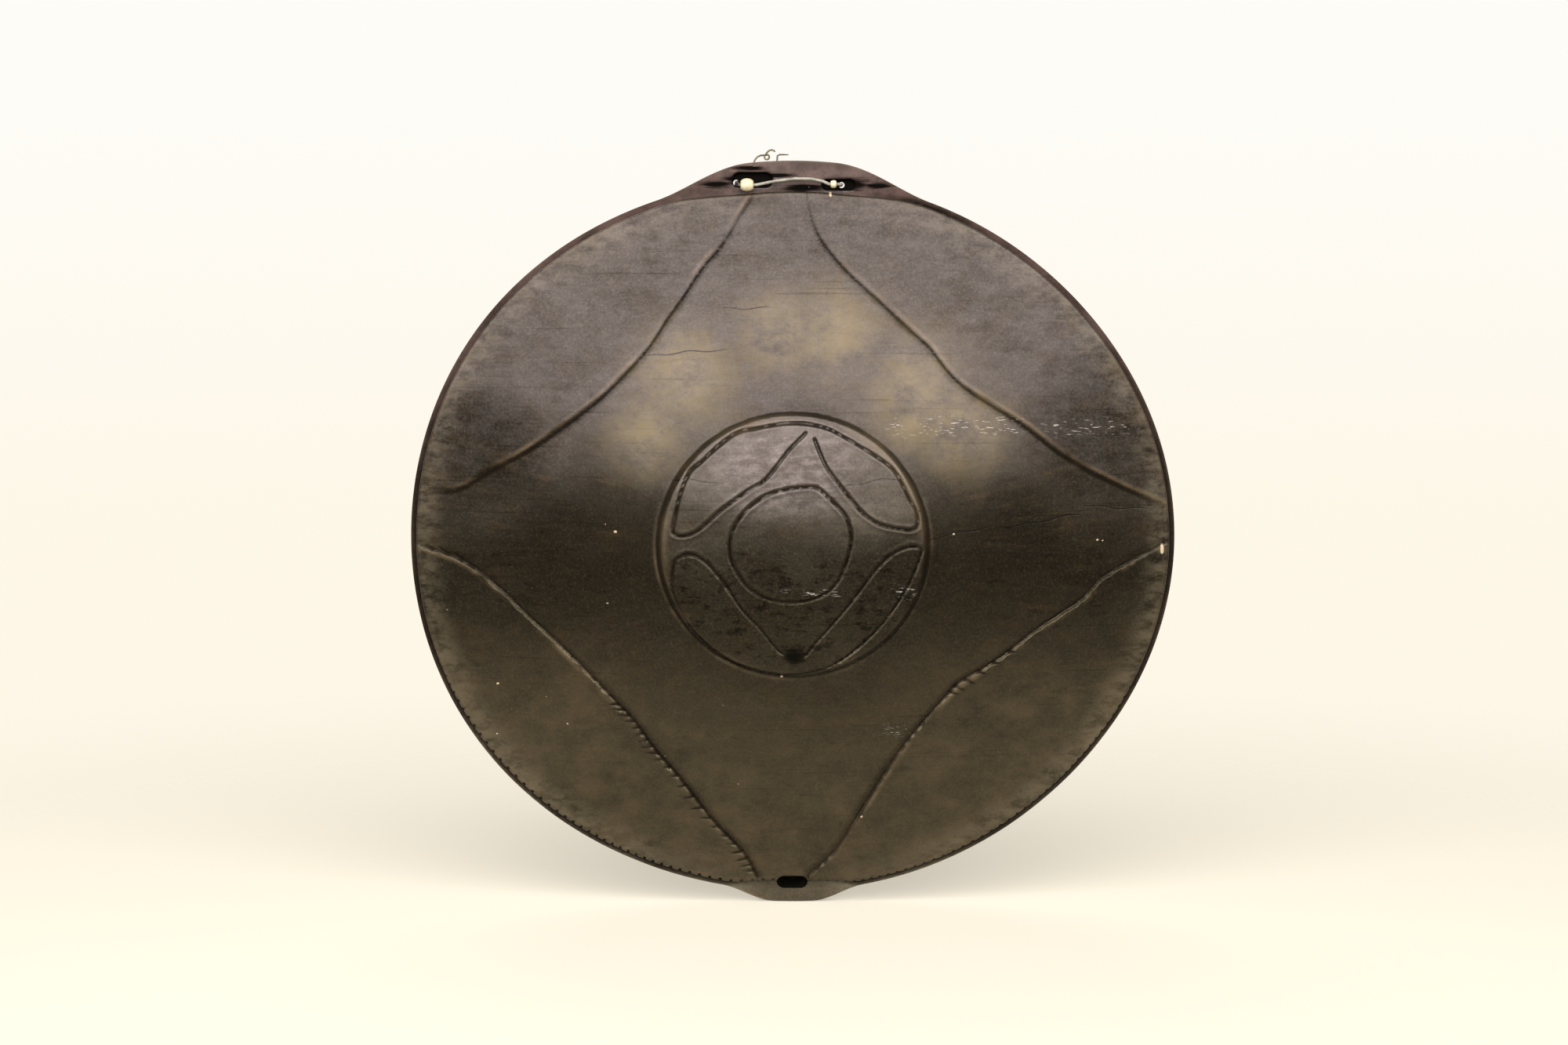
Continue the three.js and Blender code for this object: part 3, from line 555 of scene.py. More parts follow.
def bake(piece):
    """Puts the result of a piece's modifiers into its mesh."""
    shown = piece.evaluated_get(bpy.context.evaluated_depsgraph_get())
    mesh = bpy.data.meshes.new_from_object(shown)
    piece.modifiers.clear()
    piece.data = mesh


def combine(piece, other, operation):
    """Joins another closed solid to a piece, or cuts it away, and removes it."""
    step = piece.modifiers.new("solid", "BOOLEAN")
    step.object, step.operation, step.solver = other, operation, "MANIFOLD"
    bake(piece)
    bpy.data.objects.remove(other)


def slot_outline(hole, steps=14):
    """Outline of a round-ended slot, with so many steps to each end."""
    end, span = hole["height"] / 2, (hole["width"] - hole["height"]) / 2
    turns = np.linspace(-math.pi / 2, math.pi / 2, steps)
    return [(hole["across"] + sign * span + sign * end * math.cos(turn),
             hole["up"] + sign * end * math.sin(turn)) for sign in (1, -1) for turn in turns]


def box_outline(left, right, bottom, top):
    return [(left, bottom), (right, bottom), (right, top), (left, top)]


saddle_radius = tenon_radius + clearance
saddle_opening = math.asin(saddle_wall_rise / saddle_radius)
crown, waist = grip_axis_depth + saddle_wall_rise, slot_depth_middle + slot_height
lug_base = float(back_depth(np.array(lug_middle - lug_thickness / 2), boss_radius, half_height)) + lug_bedding
saddle = [(saddle_radius * math.cos(turn), grip_axis_depth + saddle_radius * math.sin(turn))
          for turn in np.linspace(math.pi - saddle_opening, saddle_opening, 14)]
flare = [(lug_half_width + lug_flare * share ** 2, mix(waist, lug_base, share))
         for share in np.linspace(0, 1, 8)]
lug_outline = [(-width, depth) for width, depth in reversed(flare)] + [(-lug_half_width, crown)] + saddle
lug_outline += [(lug_half_width, crown)] + flare
for middle in (-lug_middle, lug_middle):
    lug = prism("lug", lug_outline, middle - lug_thickness / 2, middle + lug_thickness / 2, 0)
    soften = lug.modifiers.new("soften", "BEVEL")
    soften.width, soften.segments, soften.angle_limit = lug_edge_round * millimetre, 3, math.radians(50)
    bake(lug)
    combine(shield_body, lug, "UNION")
    thong_slot = prism("slot", box_outline(middle - slot_length / 2, middle + slot_length / 2,
                                           slot_depth_middle - slot_height / 2,
                                           slot_depth_middle + slot_height / 2), -overrun, overrun, 1)
    combine(shield_body, thong_slot, "DIFFERENCE")
recess_cut = box_outline(-recess_half_width, recess_half_width, recess_bottom, recess_top)
notch_cut = box_outline(notch_left, notch_right, recess_bottom, lip_top + overrun)
for cut in (recess_cut, notch_cut):
    combine(shield_body, prism("cut", cut, -overrun, recess_depth, 2), "DIFFERENCE")
for slot in (left_slot, right_slot):
    sunk_slot = prism("slot", slot_outline(slot), slot_floor_depth, boss_foot_depth, 2)
    combine(shield_body, sunk_slot, "DIFFERENCE")

# The wire's legs go on to the back through a round hole at the outer end of each slot
wire_diameter, wire_back_depth, wire_front_depth = 2.2, 4.2, 23.6
wire_coil_gap, left_leg_across, right_leg_across = 0.5, -41.2, 35.5
left_bead = dict(across=-33.2, up=lip_top - 18, radius=4.9, length=9.4)
right_bead = dict(across=29.4, up=lip_top - 17.5, radius=2.9, length=4.4)
coil_radius = wire_diameter + wire_coil_gap
back_line_up = right_bead["up"]
standing_line_up = back_line_up + coil_radius
leg_hole_depth = mix(recess_depth, slot_floor_depth, 0.5)
leg_share = (wire_front_depth - leg_hole_depth) / (wire_front_depth - wire_back_depth)
for leg_across, front_up, back_up in ((left_leg_across, left_bead["up"], standing_line_up),
                                      (right_leg_across, right_bead["up"], back_line_up)):
    leg_hole = dict(across=leg_across, up=mix(front_up, back_up, leg_share),
                    width=2 * leg_hole_radius, height=2 * leg_hole_radius)
    combine(shield_body, prism("hole", slot_outline(leg_hole), -overrun, boss_foot_depth, 2), "DIFFERENCE")

# The tab's hole goes straight in at the front, then climbs through the solid foot to the back
tab_outline = slot_outline(tab_hole)
combine(shield_body, prism("hole", tab_outline, tab_hole_bend - clearance, boss_foot_depth, 2), "DIFFERENCE")
combine(shield_body, prism("hole", tab_outline, -overrun, tab_hole_bend, 2, tab_hole_climb), "DIFFERENCE")
shield_body.data.set_sharp_from_angle(angle=math.radians(62))


def points_of(piece):
    """Across, up and forward of every point of a piece."""
    spots = np.zeros(len(piece.data.vertices) * 3)
    piece.data.vertices.foreach_get("co", spots)
    spots = spots.reshape(-1, 3) / millimetre
    return spots[:, 0], spots[:, 2] + origin_above_centre, -spots[:, 1]


# Where dirt, wear, cracks, spots, rubbing and painted light and shade lie, kept on the points of the finished
# mesh
across, up, depth = points_of(shield_body)
lines = carving(across, up)
radius, seam, edges = lines["radius"], lines["seam"], (lines["boss_edge"], lines["dome_edge"])
boss_gap, from_edge = radius - edges[0], edges[1] - radius
inside_dome = from_edge > 0
rim_middle = mix(flange_depth / 3, (recess_depth + slot_floor_depth) / 2, lines["lip"])
mid_depth = np.where(inside_dome, (face_depth(radius, *edges) + back_depth(radius, *edges)) / 2, rim_middle)
backward = smooth((mid_depth - depth) / 3 + 0.5)
forward = 1 - backward
upper = upper_half(up)
aside = np.clip(np.abs(across) / half_width, 0, 1)
near_lip = np.where(up > 0, smooth((from_edge + 10) / 60), 1)
foot = nicked_foot(across, up)
lip_fade = 1 - 0.8 * hump(across, 30) * upper
shoulder_shade = hump(np.degrees(lines["angle"]) - 68, 9)


def patch(middle_across, middle_up, wide, tall=None):
    """One in the middle of a round or oval patch, and zero at its edge."""
    return 1 - np.hypot((across - middle_across) / wide, (up - middle_up) / (tall or wide))


def patches(table):
    """The strongest of several patches at each place."""
    return np.max([patch(*row) for row in table], axis=0)


# Dirt and painted shade in the seams, at their nicked foot, under the shoulder, in the boss's lines and step,
# and at the dome's edge; the boss's step and the dome's edge are darker low down, where less light falls,
# which is
# painted shade: distance from the cut, how far the darkening spreads, and how strong it is
dirt_and_shade_lines = [(seam + 0.6, mix(1.2, 1.9, upper), mix(0.6, 0.8, aside) * near_lip),
              (seam + 0.4, 2, 0.95 * foot),
              (from_edge + 1.5, 4, shoulder_shade),
              (lines["line_gap"], 1.25, 0.75),
              (boss_gap - 0.6, 1.2, mix(0.8, 0.1, upper)),
              (from_edge + 0.6, 0.9, mix(0.6, 0.35, upper) * lip_fade)]
dirt_and_crease_shade = lines["nick"]
for gap, spread, strength in dirt_and_shade_lines:
    dirt_and_crease_shade = np.maximum(dirt_and_crease_shade, close_to(gap, spread) * strength)

climbed = tab_hole_climb * np.maximum(tab_hole_bend - depth, 0)
in_tab_hole = slot_distance(tab_hole, across, up - climbed) < 0.3
in_slot = (slot_distance(left_slot, across, up) < 0.3) | (slot_distance(right_slot, across, up) < 0.3)
# Painted shade: black inside the slots and the tab hole and round the rims of the round holes, where shade
# falls
round_holes = 1 - smooth((lines["hole"] + 0.3) / 1.6)
soot_and_hole_shade = np.maximum(np.clip(patches(soot_and_shadow_patches), 0, 1), round_holes) * forward
soot_and_hole_shade = np.where(in_tab_hole | in_slot & (depth > recess_depth + 0.5), 1, soot_and_hole_shade)

# Pale wear on both sides of the boss's step, on the seams' crests, on the boss's shoulder, at the dome's edge
# and along the outline; the seams' crests and the boss's shoulder, strongest at its top, also carry painted
# highlight where they catch the light from above
crests = smooth((seam - 1) / 1.2) * (1 - smooth((seam - 2.4) / 3.2))
wear_and_highlight = np.maximum.reduce([
    (hump(boss_gap - 2.4, 1.1) + hump(boss_gap + 3, 1.1)) * (1 - upper),
    1.3 * crests * (1 - 0.8 * foot),
    close_to(boss_gap + 1.2 * boss_side_roll, 5) * mix(0.15, 1, upper),
    0.5 * smooth(from_edge + 0.5) * (1 - smooth((from_edge - 1.5) / 2.5)),
    0.9 * close_to(radius - lines["outline"], 2)])

haze = (1 - smooth((from_edge - 4) / 20)) * inside_dome * smooth(np.abs(np.cos(lines["angle"])) / 0.6)
# Lighter towards the lower outer dome: partly dust, partly painted reflection of the bright ground below
dust_and_reflected_light = smooth((radius - 100) / 80) * smooth((-up - 30) / 110) * inside_dome
flange = smooth(-from_edge / 1.5) * mix(0.15, 1, smooth((up - 20) / 170))
flange *= 1 - 0.6 * hump(across - 6, 34) * smooth((lip_top - 10 - up) / 9) * upper
on_boss = smooth((-boss_gap - 3) / 4)
# Darker blotches over the lower part of the boss and low on the outer dome
low_blotch = 0.5 * smooth((radius - 120) / 30) * smooth((40 - up) / 60)
low_blotches = np.maximum(on_boss * smooth((12 - up) / 30), low_blotch)
gleam = smooth(1.4 * patch(-4, 52, 78, 46)) * on_boss
brushing = smooth((radius - 104) / 16) * inside_dome * mix(0.35, 1, upper)

crack = np.zeros((len(across), 3))
crack[:, 0] = crack_zone
for (left, left_up), (right, right_up), gape in cracks:
    along = (across - left) / (right - left)
    offset = up - mix(left_up, right_up, along) - 0.7 * np.sin(across / 4.3) - 0.5 * np.sin(across / 11 + 2)
    near = (np.abs(offset) < crack_zone) & (along > -0.1) & (along < 1.1)
    taper = smooth((along + 0.05) / 0.2) * smooth((1.05 - along) / 0.2)
    crack[near, 0] = offset[near]
    crack[near, 1] = (gape * taper * forward)[near]

spot = np.max([size - np.hypot(across - left, 1.25 * (up - high)) for left, high, size in pale_spots], axis=0)
for chip in pale_chips:
    spot = np.maximum(spot, 1.3 * min(chip[2:]) * patch(*chip))
rubbed = np.zeros_like(across)
for middle_up, left, right, half in rubbed_bands:
    window = smooth((across - left) / 12) * smooth((right - across) / 12)
    rubbed = np.maximum(rubbed, hump(up - middle_up, half) * window)

# Painted shade: a broad dark band across the lower middle of the face, and a soft dark band along the inner
# side of each seam's step. The outer upper dome is also made darker and less glossy.
shaded_belt = 0.85 * hump(up + 22, 72)
foot_shade = hump(seam + 1.8, 2.8) * mix(0.8, 0.9, aside) * (seam < 1) * near_lip
shoulders = 0.35 * smooth((radius - 130) / 90) * upper
dark_patches_and_shade = np.maximum.reduce([0.9 * smooth(1.4 * patches(dark_patches)), shaded_belt, foot_shade, shoulders]) * forward
gloss = 0.5 - 0.33 * dark_patches_and_shade + 0.12 * (radius < boss_radius - boss_side_roll) * smooth(up / 60 + 0.5)


def keep_on_points(piece, name, values):
    """Writes a number or a direction for each point of a piece, where its material can read it."""
    values = np.asarray(values, np.float32)
    kind, field = ("FLOAT", "value") if values.ndim == 1 else ("FLOAT_VECTOR", "vector")
    piece.data.attributes.new(name, kind, "POINT").data.foreach_set(field, values.ravel())


olive_and_highlight = smooth(patches(olive_and_highlight_patches))
on_face_only = dict(dirt_and_crease_shade=dirt_and_crease_shade, wear_and_highlight=wear_and_highlight, haze=haze, dust_and_reflected_light=dust_and_reflected_light, flange=flange, olive_and_highlight=olive_and_highlight, rubbed=rubbed,
                    low_blotches=low_blotches, gleam=gleam, brushing=brushing)
for name, values in on_face_only.items():
    keep_on_points(shield_body, name, values * forward)
for name, values in dict(soot_and_hole_shade=soot_and_hole_shade, dark_patches_and_shade=dark_patches_and_shade, gloss=gloss, backward=backward, crack=crack).items():
    keep_on_points(shield_body, name, values)
keep_on_points(shield_body, "spot", np.clip(spot, -4, 4) * forward - 4 * backward)
# Share of warm tint for the gloss low down, less where the boss gleams: painted reflection
keep_on_points(shield_body, "low", smooth((120 - up) / 200) * (1 - 0.8 * gleam))
keep_on_points(shield_body, "rays", np.column_stack([26 * np.cos(lines["angle"]), 26 * np.sin(lines["angle"]),
                                                     radius / 50]))


def colour(red, green, blue):
    """Linear colour of a shade named by its 0 to 255 screen values."""
    shares = [value / 255 for value in (red, green, blue)]
    return tuple(share / 12.92 if share <= 0.04045 else ((share + 0.055) / 1.055) ** 2.4
                 for share in shares) + (1,)


def new_material(name):
    """Material, its node tree and its shader. The functions below add to the tree that was made last."""
    material = bpy.data.materials.new(name)
    material.use_nodes = True
    return material, material.node_tree, material.node_tree.nodes["Principled BSDF"]


def set_inputs(node, inputs):
    """Sets a node's inputs, by name or number, to plain values or to what other nodes give."""
    for name, value in inputs.items():
        if isinstance(value, bpy.types.NodeSocket):
            tree.links.new(value, node.inputs[name])
        else:
            node.inputs[name].default_value = value


def add_node(kind, inputs=None, **settings):
    made = tree.nodes.new(kind)
    for name, value in settings.items():
        setattr(made, name, value)
    set_inputs(made, inputs or {})
    return made


def noise(place, detail=4, roughness=0.55):
    """Cloudy pattern over a place, or with so many swells to the metre across, forward and up."""
    if isinstance(place, tuple):
        spot = add_node("ShaderNodeTexCoord").outputs["Object"]
        place = add_node("ShaderNodeMapping", {"Vector": spot, "Scale": place}).outputs["Vector"]
    inputs = {"Vector": place, "Scale": 1, "Detail": detail, "Roughness": roughness}
    return add_node("ShaderNodeTexNoise", inputs).outputs["Fac"]


def fade(value, low, high):
    """Zero at or below one value and one at the other, smooth between them."""
    inputs = {"Value": value, "From Min": low, "From Max": high}
    return add_node("ShaderNodeMapRange", inputs, interpolation_type="SMOOTHSTEP").outputs["Result"]


def maths(operation, *values):
    return add_node("ShaderNodeMath", dict(enumerate(values)), operation=operation).outputs[0]


def times(first, second):
    return maths("MULTIPLY", first, second)


def weighed(value, weight, added):
    """A value times its weight, added to another."""
    return maths("MULTIPLY_ADD", value, weight, added)


def tint(share, below, above):
    """Mixes one colour over another by a share."""
    return add_node("ShaderNodeMix", {0: share, 6: below, 7: above}, data_type="RGBA").outputs[2]


def layered(shade, layers):
    """Lays colours over a shade in turn: where each lies, how strong it is there, and the colour."""
    for where, strength, above in layers:
        shade = tint(times(where, strength), shade, above)
    return shade


def marked(name, output="Fac"):
    """What a piece keeps on its points under a name."""
    return add_node("ShaderNodeAttribute", attribute_name=name).outputs[output]


def bump(height, distance, strength, under=None):
    """Fine relief of a depth in millimetres, over another one if there is one under it."""
    inputs = {"Height": height, "Distance": distance * millimetre, "Strength": strength}
    if under is not None:
        inputs["Normal"] = under
    return add_node("ShaderNodeBump", inputs).outputs["Normal"]


blackened_wood, tree, shader = new_material("blackened_wood")
grain = noise((11, 60, 190), 6, 0.62)
mottle = noise((14, 14, 19), 8, 0.62)
pores = noise((260, 900, 1900), 2)
flecks = noise((150, 150, 700), 3, 0.7)
dashes = noise((170, 170, 950), 3, 0.6)
strokes = noise(marked("rays", "Vector"), 5, 0.65)
clouds = noise((70, 70, 150), 6, 0.7)
blotches = noise((36, 36, 48), 7, 0.68)
streaks = noise((45, 45, 420), 3, 0.6)
hairlines = noise((9, 9, 620), 2)
speckle = noise((560, 560, 560), 2, 0.7)
back_tone = weighed(grain, 0.4, times(blotches, 0.6))
back_wood = tint(fade(back_tone, 0.38, 0.64), colour(72, 55, 39), colour(108, 84, 60))
brushed = times(times(marked("brushing"), fade(strokes, 0.46, 0.7)), fade(blotches, 0.42, 0.6))
# Olive wear, partly painted highlight on the upper dome
worn_olive_and_highlight = times(marked("olive_and_highlight"), weighed(strokes, 0.3, fade(blotches, 0.32, 0.62)))
low_blotched = times(marked("low_blotches"), fade(clouds, 0.5, 0.64))
hair = times(fade(hairlines, 0.64, 0.74), 0.12)
rim_tone = tint(fade(blotches, 0.35, 0.65), colour(92, 74, 70), colour(60, 50, 46))
# Dirt and painted shade in the cuts and creases
dirt_and_shade_share = times(marked("dirt_and_crease_shade"), fade(flecks, 0.2, 0.5))
# Soot, with painted shade in the slots and holes and painted shadow of the wire on the lip
soot_and_shade_share = fade(weighed(streaks, 0.8, marked("soot_and_hole_shade")), 0.6, 1.1)
crack_parts = add_node("ShaderNodeSeparateXYZ", {0: marked("crack", "Vector")}).outputs
gaping = fade(maths("SUBTRACT", crack_parts[1], maths("ABSOLUTE", crack_parts[0])), -0.15, 0.25)
bare_black = tint(fade(mottle, 0.34, 0.68), colour(24, 21, 16), colour(38, 33, 25))
shade = layered(bare_black, [
    (fade(blotches, 0.5, 0.7), 0.5, colour(62, 50, 35)),
    (fade(grain, 0.45, 0.75), 0.2, colour(58, 48, 36)),
    (fade(pores, 0.5, 0.66), 0.35, colour(20, 17, 14)),
    (marked("backward"), 0.85, back_wood),
    # dark patches and painted shade
    (marked("dark_patches_and_shade"), 0.75, colour(22, 19, 14)),
    (brushed, 0.3, colour(78, 66, 50)),
    # olive wear and painted highlight
    (worn_olive_and_highlight, 0.7, colour(114, 102, 75)),
    (low_blotched, 0.85, colour(13, 11, 8)),
    (hair, 1, colour(16, 13, 10)),
    (fade(speckle, 0.5, 0.75), 0.25, colour(70, 60, 46)),
    # dust and painted reflection of the ground
    (times(marked("dust_and_reflected_light"), fade(blotches, 0.3, 0.7)), 0.6, colour(72, 62, 48)),
    (marked("flange"), 1, rim_tone),
    (times(marked("haze"), fade(clouds, 0.35, 0.65)), 0.3, colour(120, 110, 92)),
    # pale wear and painted highlight
    (times(marked("wear_and_highlight"), fade(mottle, 0.4, 0.62)), 0.5, colour(104, 90, 70)),
    (times(marked("rubbed"), fade(dashes, 0.59, 0.66)), 0.7, colour(186, 182, 176)),
    # dirt and painted shade in the cuts and creases
    (dirt_and_shade_share, 0.93, colour(20, 15, 11)),
    # soot, painted shade in the slots and holes, and painted shadow of the wire
    (soot_and_shade_share, 1, colour(8, 7, 6)),
    (gaping, 1, colour(12, 10, 8)),
    (fade(weighed(flecks, 1.6, marked("spot")), 1.25, 1.8), 1, colour(186, 168, 144)),
])
darkened = maths("MAXIMUM", dirt_and_shade_share, soot_and_shade_share)
dull = maths("MAXIMUM", weighed(mottle, 0.2, 0.25), times(darkened, 0.85))
dull = maths("MAXIMUM", dull, times(marked("backward"), 0.68))
relief = bump(maths("SUBTRACT", grain, gaping), 0.25, 0.3)
relief = bump(pores, 0.06, 0.2, relief)
relief = bump(noise((60, 60, 90), 2), 0.4, 0.12, relief)

# What adds to the polish and what takes from it, with its weight
gleaming = times(marked("gleam"), fade(clouds, 0.42, 0.66))
sheen = maths("SUBTRACT", marked("gloss"), 0.35)
for value, weight in [(darkened, -0.4), (fade(blotches, 0.4, 0.66), -0.13), (clouds, 0.35), (low_blotched, -0.2),
                      (gleaming, 0.32), (hair, -1), (speckle, 0.35)]:
    sheen = weighed(value, weight, sheen)
# Painted reflection: the gloss is tinted warm low down, as if it mirrored a warm ground, and cool where the
# boss gleams
warm_reflection_tint = tint(marked("low"), colour(255, 240, 242), colour(255, 242, 205))
set_inputs(shader, {"Base Color": shade, "Roughness": dull, "Normal": relief, "IOR": 1.65,
                    "Specular IOR Level": maths("MAXIMUM", sheen, 0.04), "Specular Tint": warm_reflection_tint})

shield_body.data.materials.clear()
shield_body.data.materials.append(blackened_wood)
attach(shield_body, "shield")
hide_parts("shield_body")

# The grip bar
# A hardwood bar, whittled round and swollen where the hand closes on it, lying in the two saddles.
# The photograph doesn't show it, so it is finished as such grips are: brown, smooth and stained by the hand.
grip_radius, shoulder_radius, tenon_overhang, grip_sides, grip_roughness = 13, 11.4, 5, 48, 0.09
tenon_end = lug_middle + lug_thickness / 2 + tenon_overhang
shoulder = lug_middle - lug_thickness / 2 - clearance
tenon_chamfer = tenon_radius / 8
hand_profile = [(0, grip_radius), (shoulder / 4, grip_radius - 0.1), (shoulder / 2, grip_radius - 0.4),
                (0.8 * shoulder, shoulder_radius + 0.3), (shoulder - 2, shoulder_radius),
                (shoulder - 0.7, shoulder_radius - 0.5)]
tenon_profile = [(shoulder, shoulder_radius - 1.5), (shoulder, tenon_radius),
                 (tenon_end - tenon_chamfer, tenon_radius), (tenon_end - 0.3, tenon_radius - 0.6),
                 (tenon_end, tenon_radius - tenon_chamfer), (tenon_end, tenon_radius / 2)]


def turned_points(profile, sides, across_middle, up_middle, depth_middle, roughness, wavelength):
    """Rings of a piece turned about a line across the shield, with a hand-made unevenness."""
    turns = np.linspace(0, 2 * math.pi, sides, endpoint=False)
    rings = []
    for along, size in profile:
        uneven = roughness * ripple(along + 0 * turns, 4 * size * np.sin(turns + 0.3), wavelength, 8)
        reach = size + uneven
        rings.append(np.column_stack([across_middle + along + 0 * turns, up_middle + reach * np.sin(turns),
                                      depth_middle + reach * np.cos(turns)]))
    return rings


def closed_rings(name, rings, capped=True):
    """Piece from rings of points: capped with a point at each end, or joined from the last to the first."""
    count = len(rings[0])
    points = np.vstack(rings)
    faces = []
    for number in range(len(rings) - 1):
        faces += between_rings(number * count + np.arange(count), (number + 1) * count + np.arange(count))
    last = (len(rings) - 1) * count
    if capped:
        points = np.vstack([points, rings[0].mean(axis=0), rings[-1].mean(axis=0)])
        ends = len(points) - 2
        faces += [[ends, spot, (spot + 1) % count] for spot in range(count)]
        faces += [[ends + 1, last + (spot + 1) % count, last + spot] for spot in range(count)]
    else:
        faces += between_rings(last + np.arange(count), np.arange(count))
    return faced_outward(new_piece(name, points, faces))


hand_along, hand_radius = np.array(hand_profile).T
fine_along = np.unique(np.concatenate([hand_along, np.linspace(0, shoulder - 2, 40)]))
half = [(along, float(np.interp(along, hand_along, hand_radius))) for along in fine_along] + tenon_profile
whole_profile = [(-along, size) for along, size in reversed(half[1:])] + half
grip_rings = turned_points(whole_profile, grip_sides, 0, 0, grip_axis_depth, grip_roughness, 30)
grip_bar = closed_rings("grip_bar_whittled", grip_rings)
grip_bar.data.set_sharp_from_angle(angle=math.radians(40))

grip_wood, tree, shader = new_material("grip_wood")
grain = noise((12, 330, 330), 5, 0.6)
mottle = noise((22, 60, 60))
shade = layered(tint(fade(grain, 0.32, 0.68), colour(74, 48, 29), colour(140, 100, 64)), [
    (fade(mottle, 0.4, 0.65), 0.5, colour(52, 34, 22))])
set_inputs(shader, {"Base Color": shade, "Roughness": weighed(grain, 0.25, 0.28),
                    "Normal": bump(grain, 0.25, 0.5)})
grip_bar.data.materials.append(grip_wood)
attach(grip_bar, "shield")
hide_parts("grip_bar")

# The grip's lashings
# Wet rawhide thong, twisted and wound tight over the bar's end and through the lug, where it dried hard.
# It keeps the twist of its two strands and is darker between them.
thong_corner_radius, thong_sides = 3.5, 16


def travelled_along(points):
    """Length of a route up to each of its points."""
    return np.concatenate([[0], np.cumsum(np.linalg.norm(np.diff(points, axis=0), axis=1))])


def tube_rings(points, radius, sides, lobes=0, turns_per_length=0.0, lobe_share=0.0):
    """Rings round a line of points, carried along without twist, or twisted with a lobed section."""
    points = np.asarray(points, float)
    ahead = np.vstack([points[1:], points[-1:]]) - np.vstack([points[:1], points[:-1]])
    ahead = ahead / np.linalg.norm(ahead, axis=1)[:, None]
    radius = np.broadcast_to(radius, len(points))
    side = np.cross((0, 1, 0), ahead[0])
    if np.linalg.norm(side) < 0.1:
        side = np.cross((1, 0, 0), ahead[0])
    turns = np.linspace(0, 2 * math.pi, sides, endpoint=False)
    rings = []
    for point, along, size, length in zip(points, ahead, radius, travelled_along(points)):
        side = side - along * (side @ along)
        side = side / np.linalg.norm(side)
        other = np.cross(along, side)
        twist = 2 * math.pi * length * turns_per_length
        reach = size * (1 - lobe_share * (0.5 - 0.5 * np.cos(lobes * (turns - twist))))
        ring = point + (reach * np.cos(turns))[:, None] * side
        rings.append(ring + (reach * np.sin(turns))[:, None] * other)
    return rings


def lashing_route(middle, steps_per_arc):
    """Route of the thong over the bar, down the lug's side, through its slot and up again, loop by loop."""
    reach, corner = tenon_radius + clearance + thong_diameter / 2, thong_corner_radius
    corner_depth = slot_depth_middle - corner
    loop = []

    def arc(up_middle, depth_middle, size, start, end, steps):
        for turn in np.radians(np.linspace(start, end, steps, endpoint=False)):
            loop.append((up_middle + size * math.cos(turn), depth_middle - size * math.sin(turn)))

    for share in (0.25, 0.5, 0.75):
        loop.append((reach, mix(grip_axis_depth, corner_depth, share)))
    arc(reach - corner, corner_depth, corner, 0, -90, steps_per_arc)
    for share in (0, 0.25, 0.5, 0.75, 1):
        loop.append((mix(reach - corner, corner - reach, share), slot_depth_middle))
    arc(corner - reach, corner_depth, corner, 255, 180, steps_per_arc)
    loop.append((-reach, mix(grip_axis_depth, corner_depth, 0.6)))
    arc(0, grip_axis_depth, reach, 180, 0, 3 * steps_per_arc)
    first = middle - thong_pitch * thong_loops / 2
    count = len(loop)
    return [(first + thong_pitch * step / count, *loop[step % count])
            for step in range(count * thong_loops + 3)]


rawhide, tree, shader = new_material("rawhide")
fibres = noise((500, 500, 500), 4, 0.7)
mottle = noise((90, 90, 90), 3)
shade = layered(tint(fade(mottle, 0.35, 0.65), colour(120, 88, 52), colour(178, 145, 98)), [
    (fade(fibres, 0.5, 0.75), 0.6, colour(66, 46, 26)),
    (maths("SUBTRACT", 1.0, marked("crest")), 0.75, colour(46, 32, 19))])
set_inputs(shader, {"Base Color": shade, "Roughness": 0.52, "Normal": bump(fibres, 0.2, 0.6)})
for side_name, middle in (("left", -lug_middle), ("right", lug_middle)):
    route = lashing_route(middle, 7)
    rings = tube_rings(route, thong_diameter / 2, thong_sides, lobes=2, turns_per_length=0.075,
                       lobe_share=0.22)
    lashing = closed_rings(f"grip_lashing_{side_name}_twisted", rings)
    centres = np.repeat([ring.mean(axis=0) for ring in rings], thong_sides, axis=0)
    out = np.linalg.norm(np.vstack(rings) - centres, axis=1) / (thong_diameter / 2)
    keep_on_points(lashing, "crest", np.concatenate([smooth((out - 0.78) / 0.2), [0, 0]]))
    lashing.data.materials.append(rawhide)
    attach(lashing, "shield")
    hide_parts(f"grip_lashing_{side_name}")

# The hanging wire
# Pale grey coated wire, about as thick as a matchstick, that crosses the lip's front between its two holes.
# Behind the lip one end is coiled twice round the other. The coating is scratched and dirty.
wire_bend, wire_coil_turns, coil_start_across, wire_end_across, wire_sides = 3, 2, 17, 3, 16
front_arch = [(-26.4, -18), (-12, -15.1), (2, -13.5), (14, -13.7), (22, -15.5), (26.4, -17.5)]


def rounded_route(corners, bend, steps):
    """Route through corners, each rounded to a bend no larger than its sides allow."""
    corners = np.array(corners, float)
    route = [corners[0]]
    for before, corner, after in zip(corners, corners[1:], corners[2:]):
        back, ahead = before - corner, after - corner
        back_length, ahead_length = np.linalg.norm(back), np.linalg.norm(ahead)
        opening = math.acos(np.clip(back @ ahead / back_length / ahead_length, -1, 1))
        reach = min(bend / math.tan(opening / 2), 0.48 * back_length, 0.48 * ahead_length)
        start, end = corner + back / back_length * reach, corner + ahead / ahead_length * reach
        for share in np.linspace(0, 1, steps):
            route.append(mix(mix(start, corner, share), mix(corner, end, share), share))
    return np.array(route + [corners[-1]])


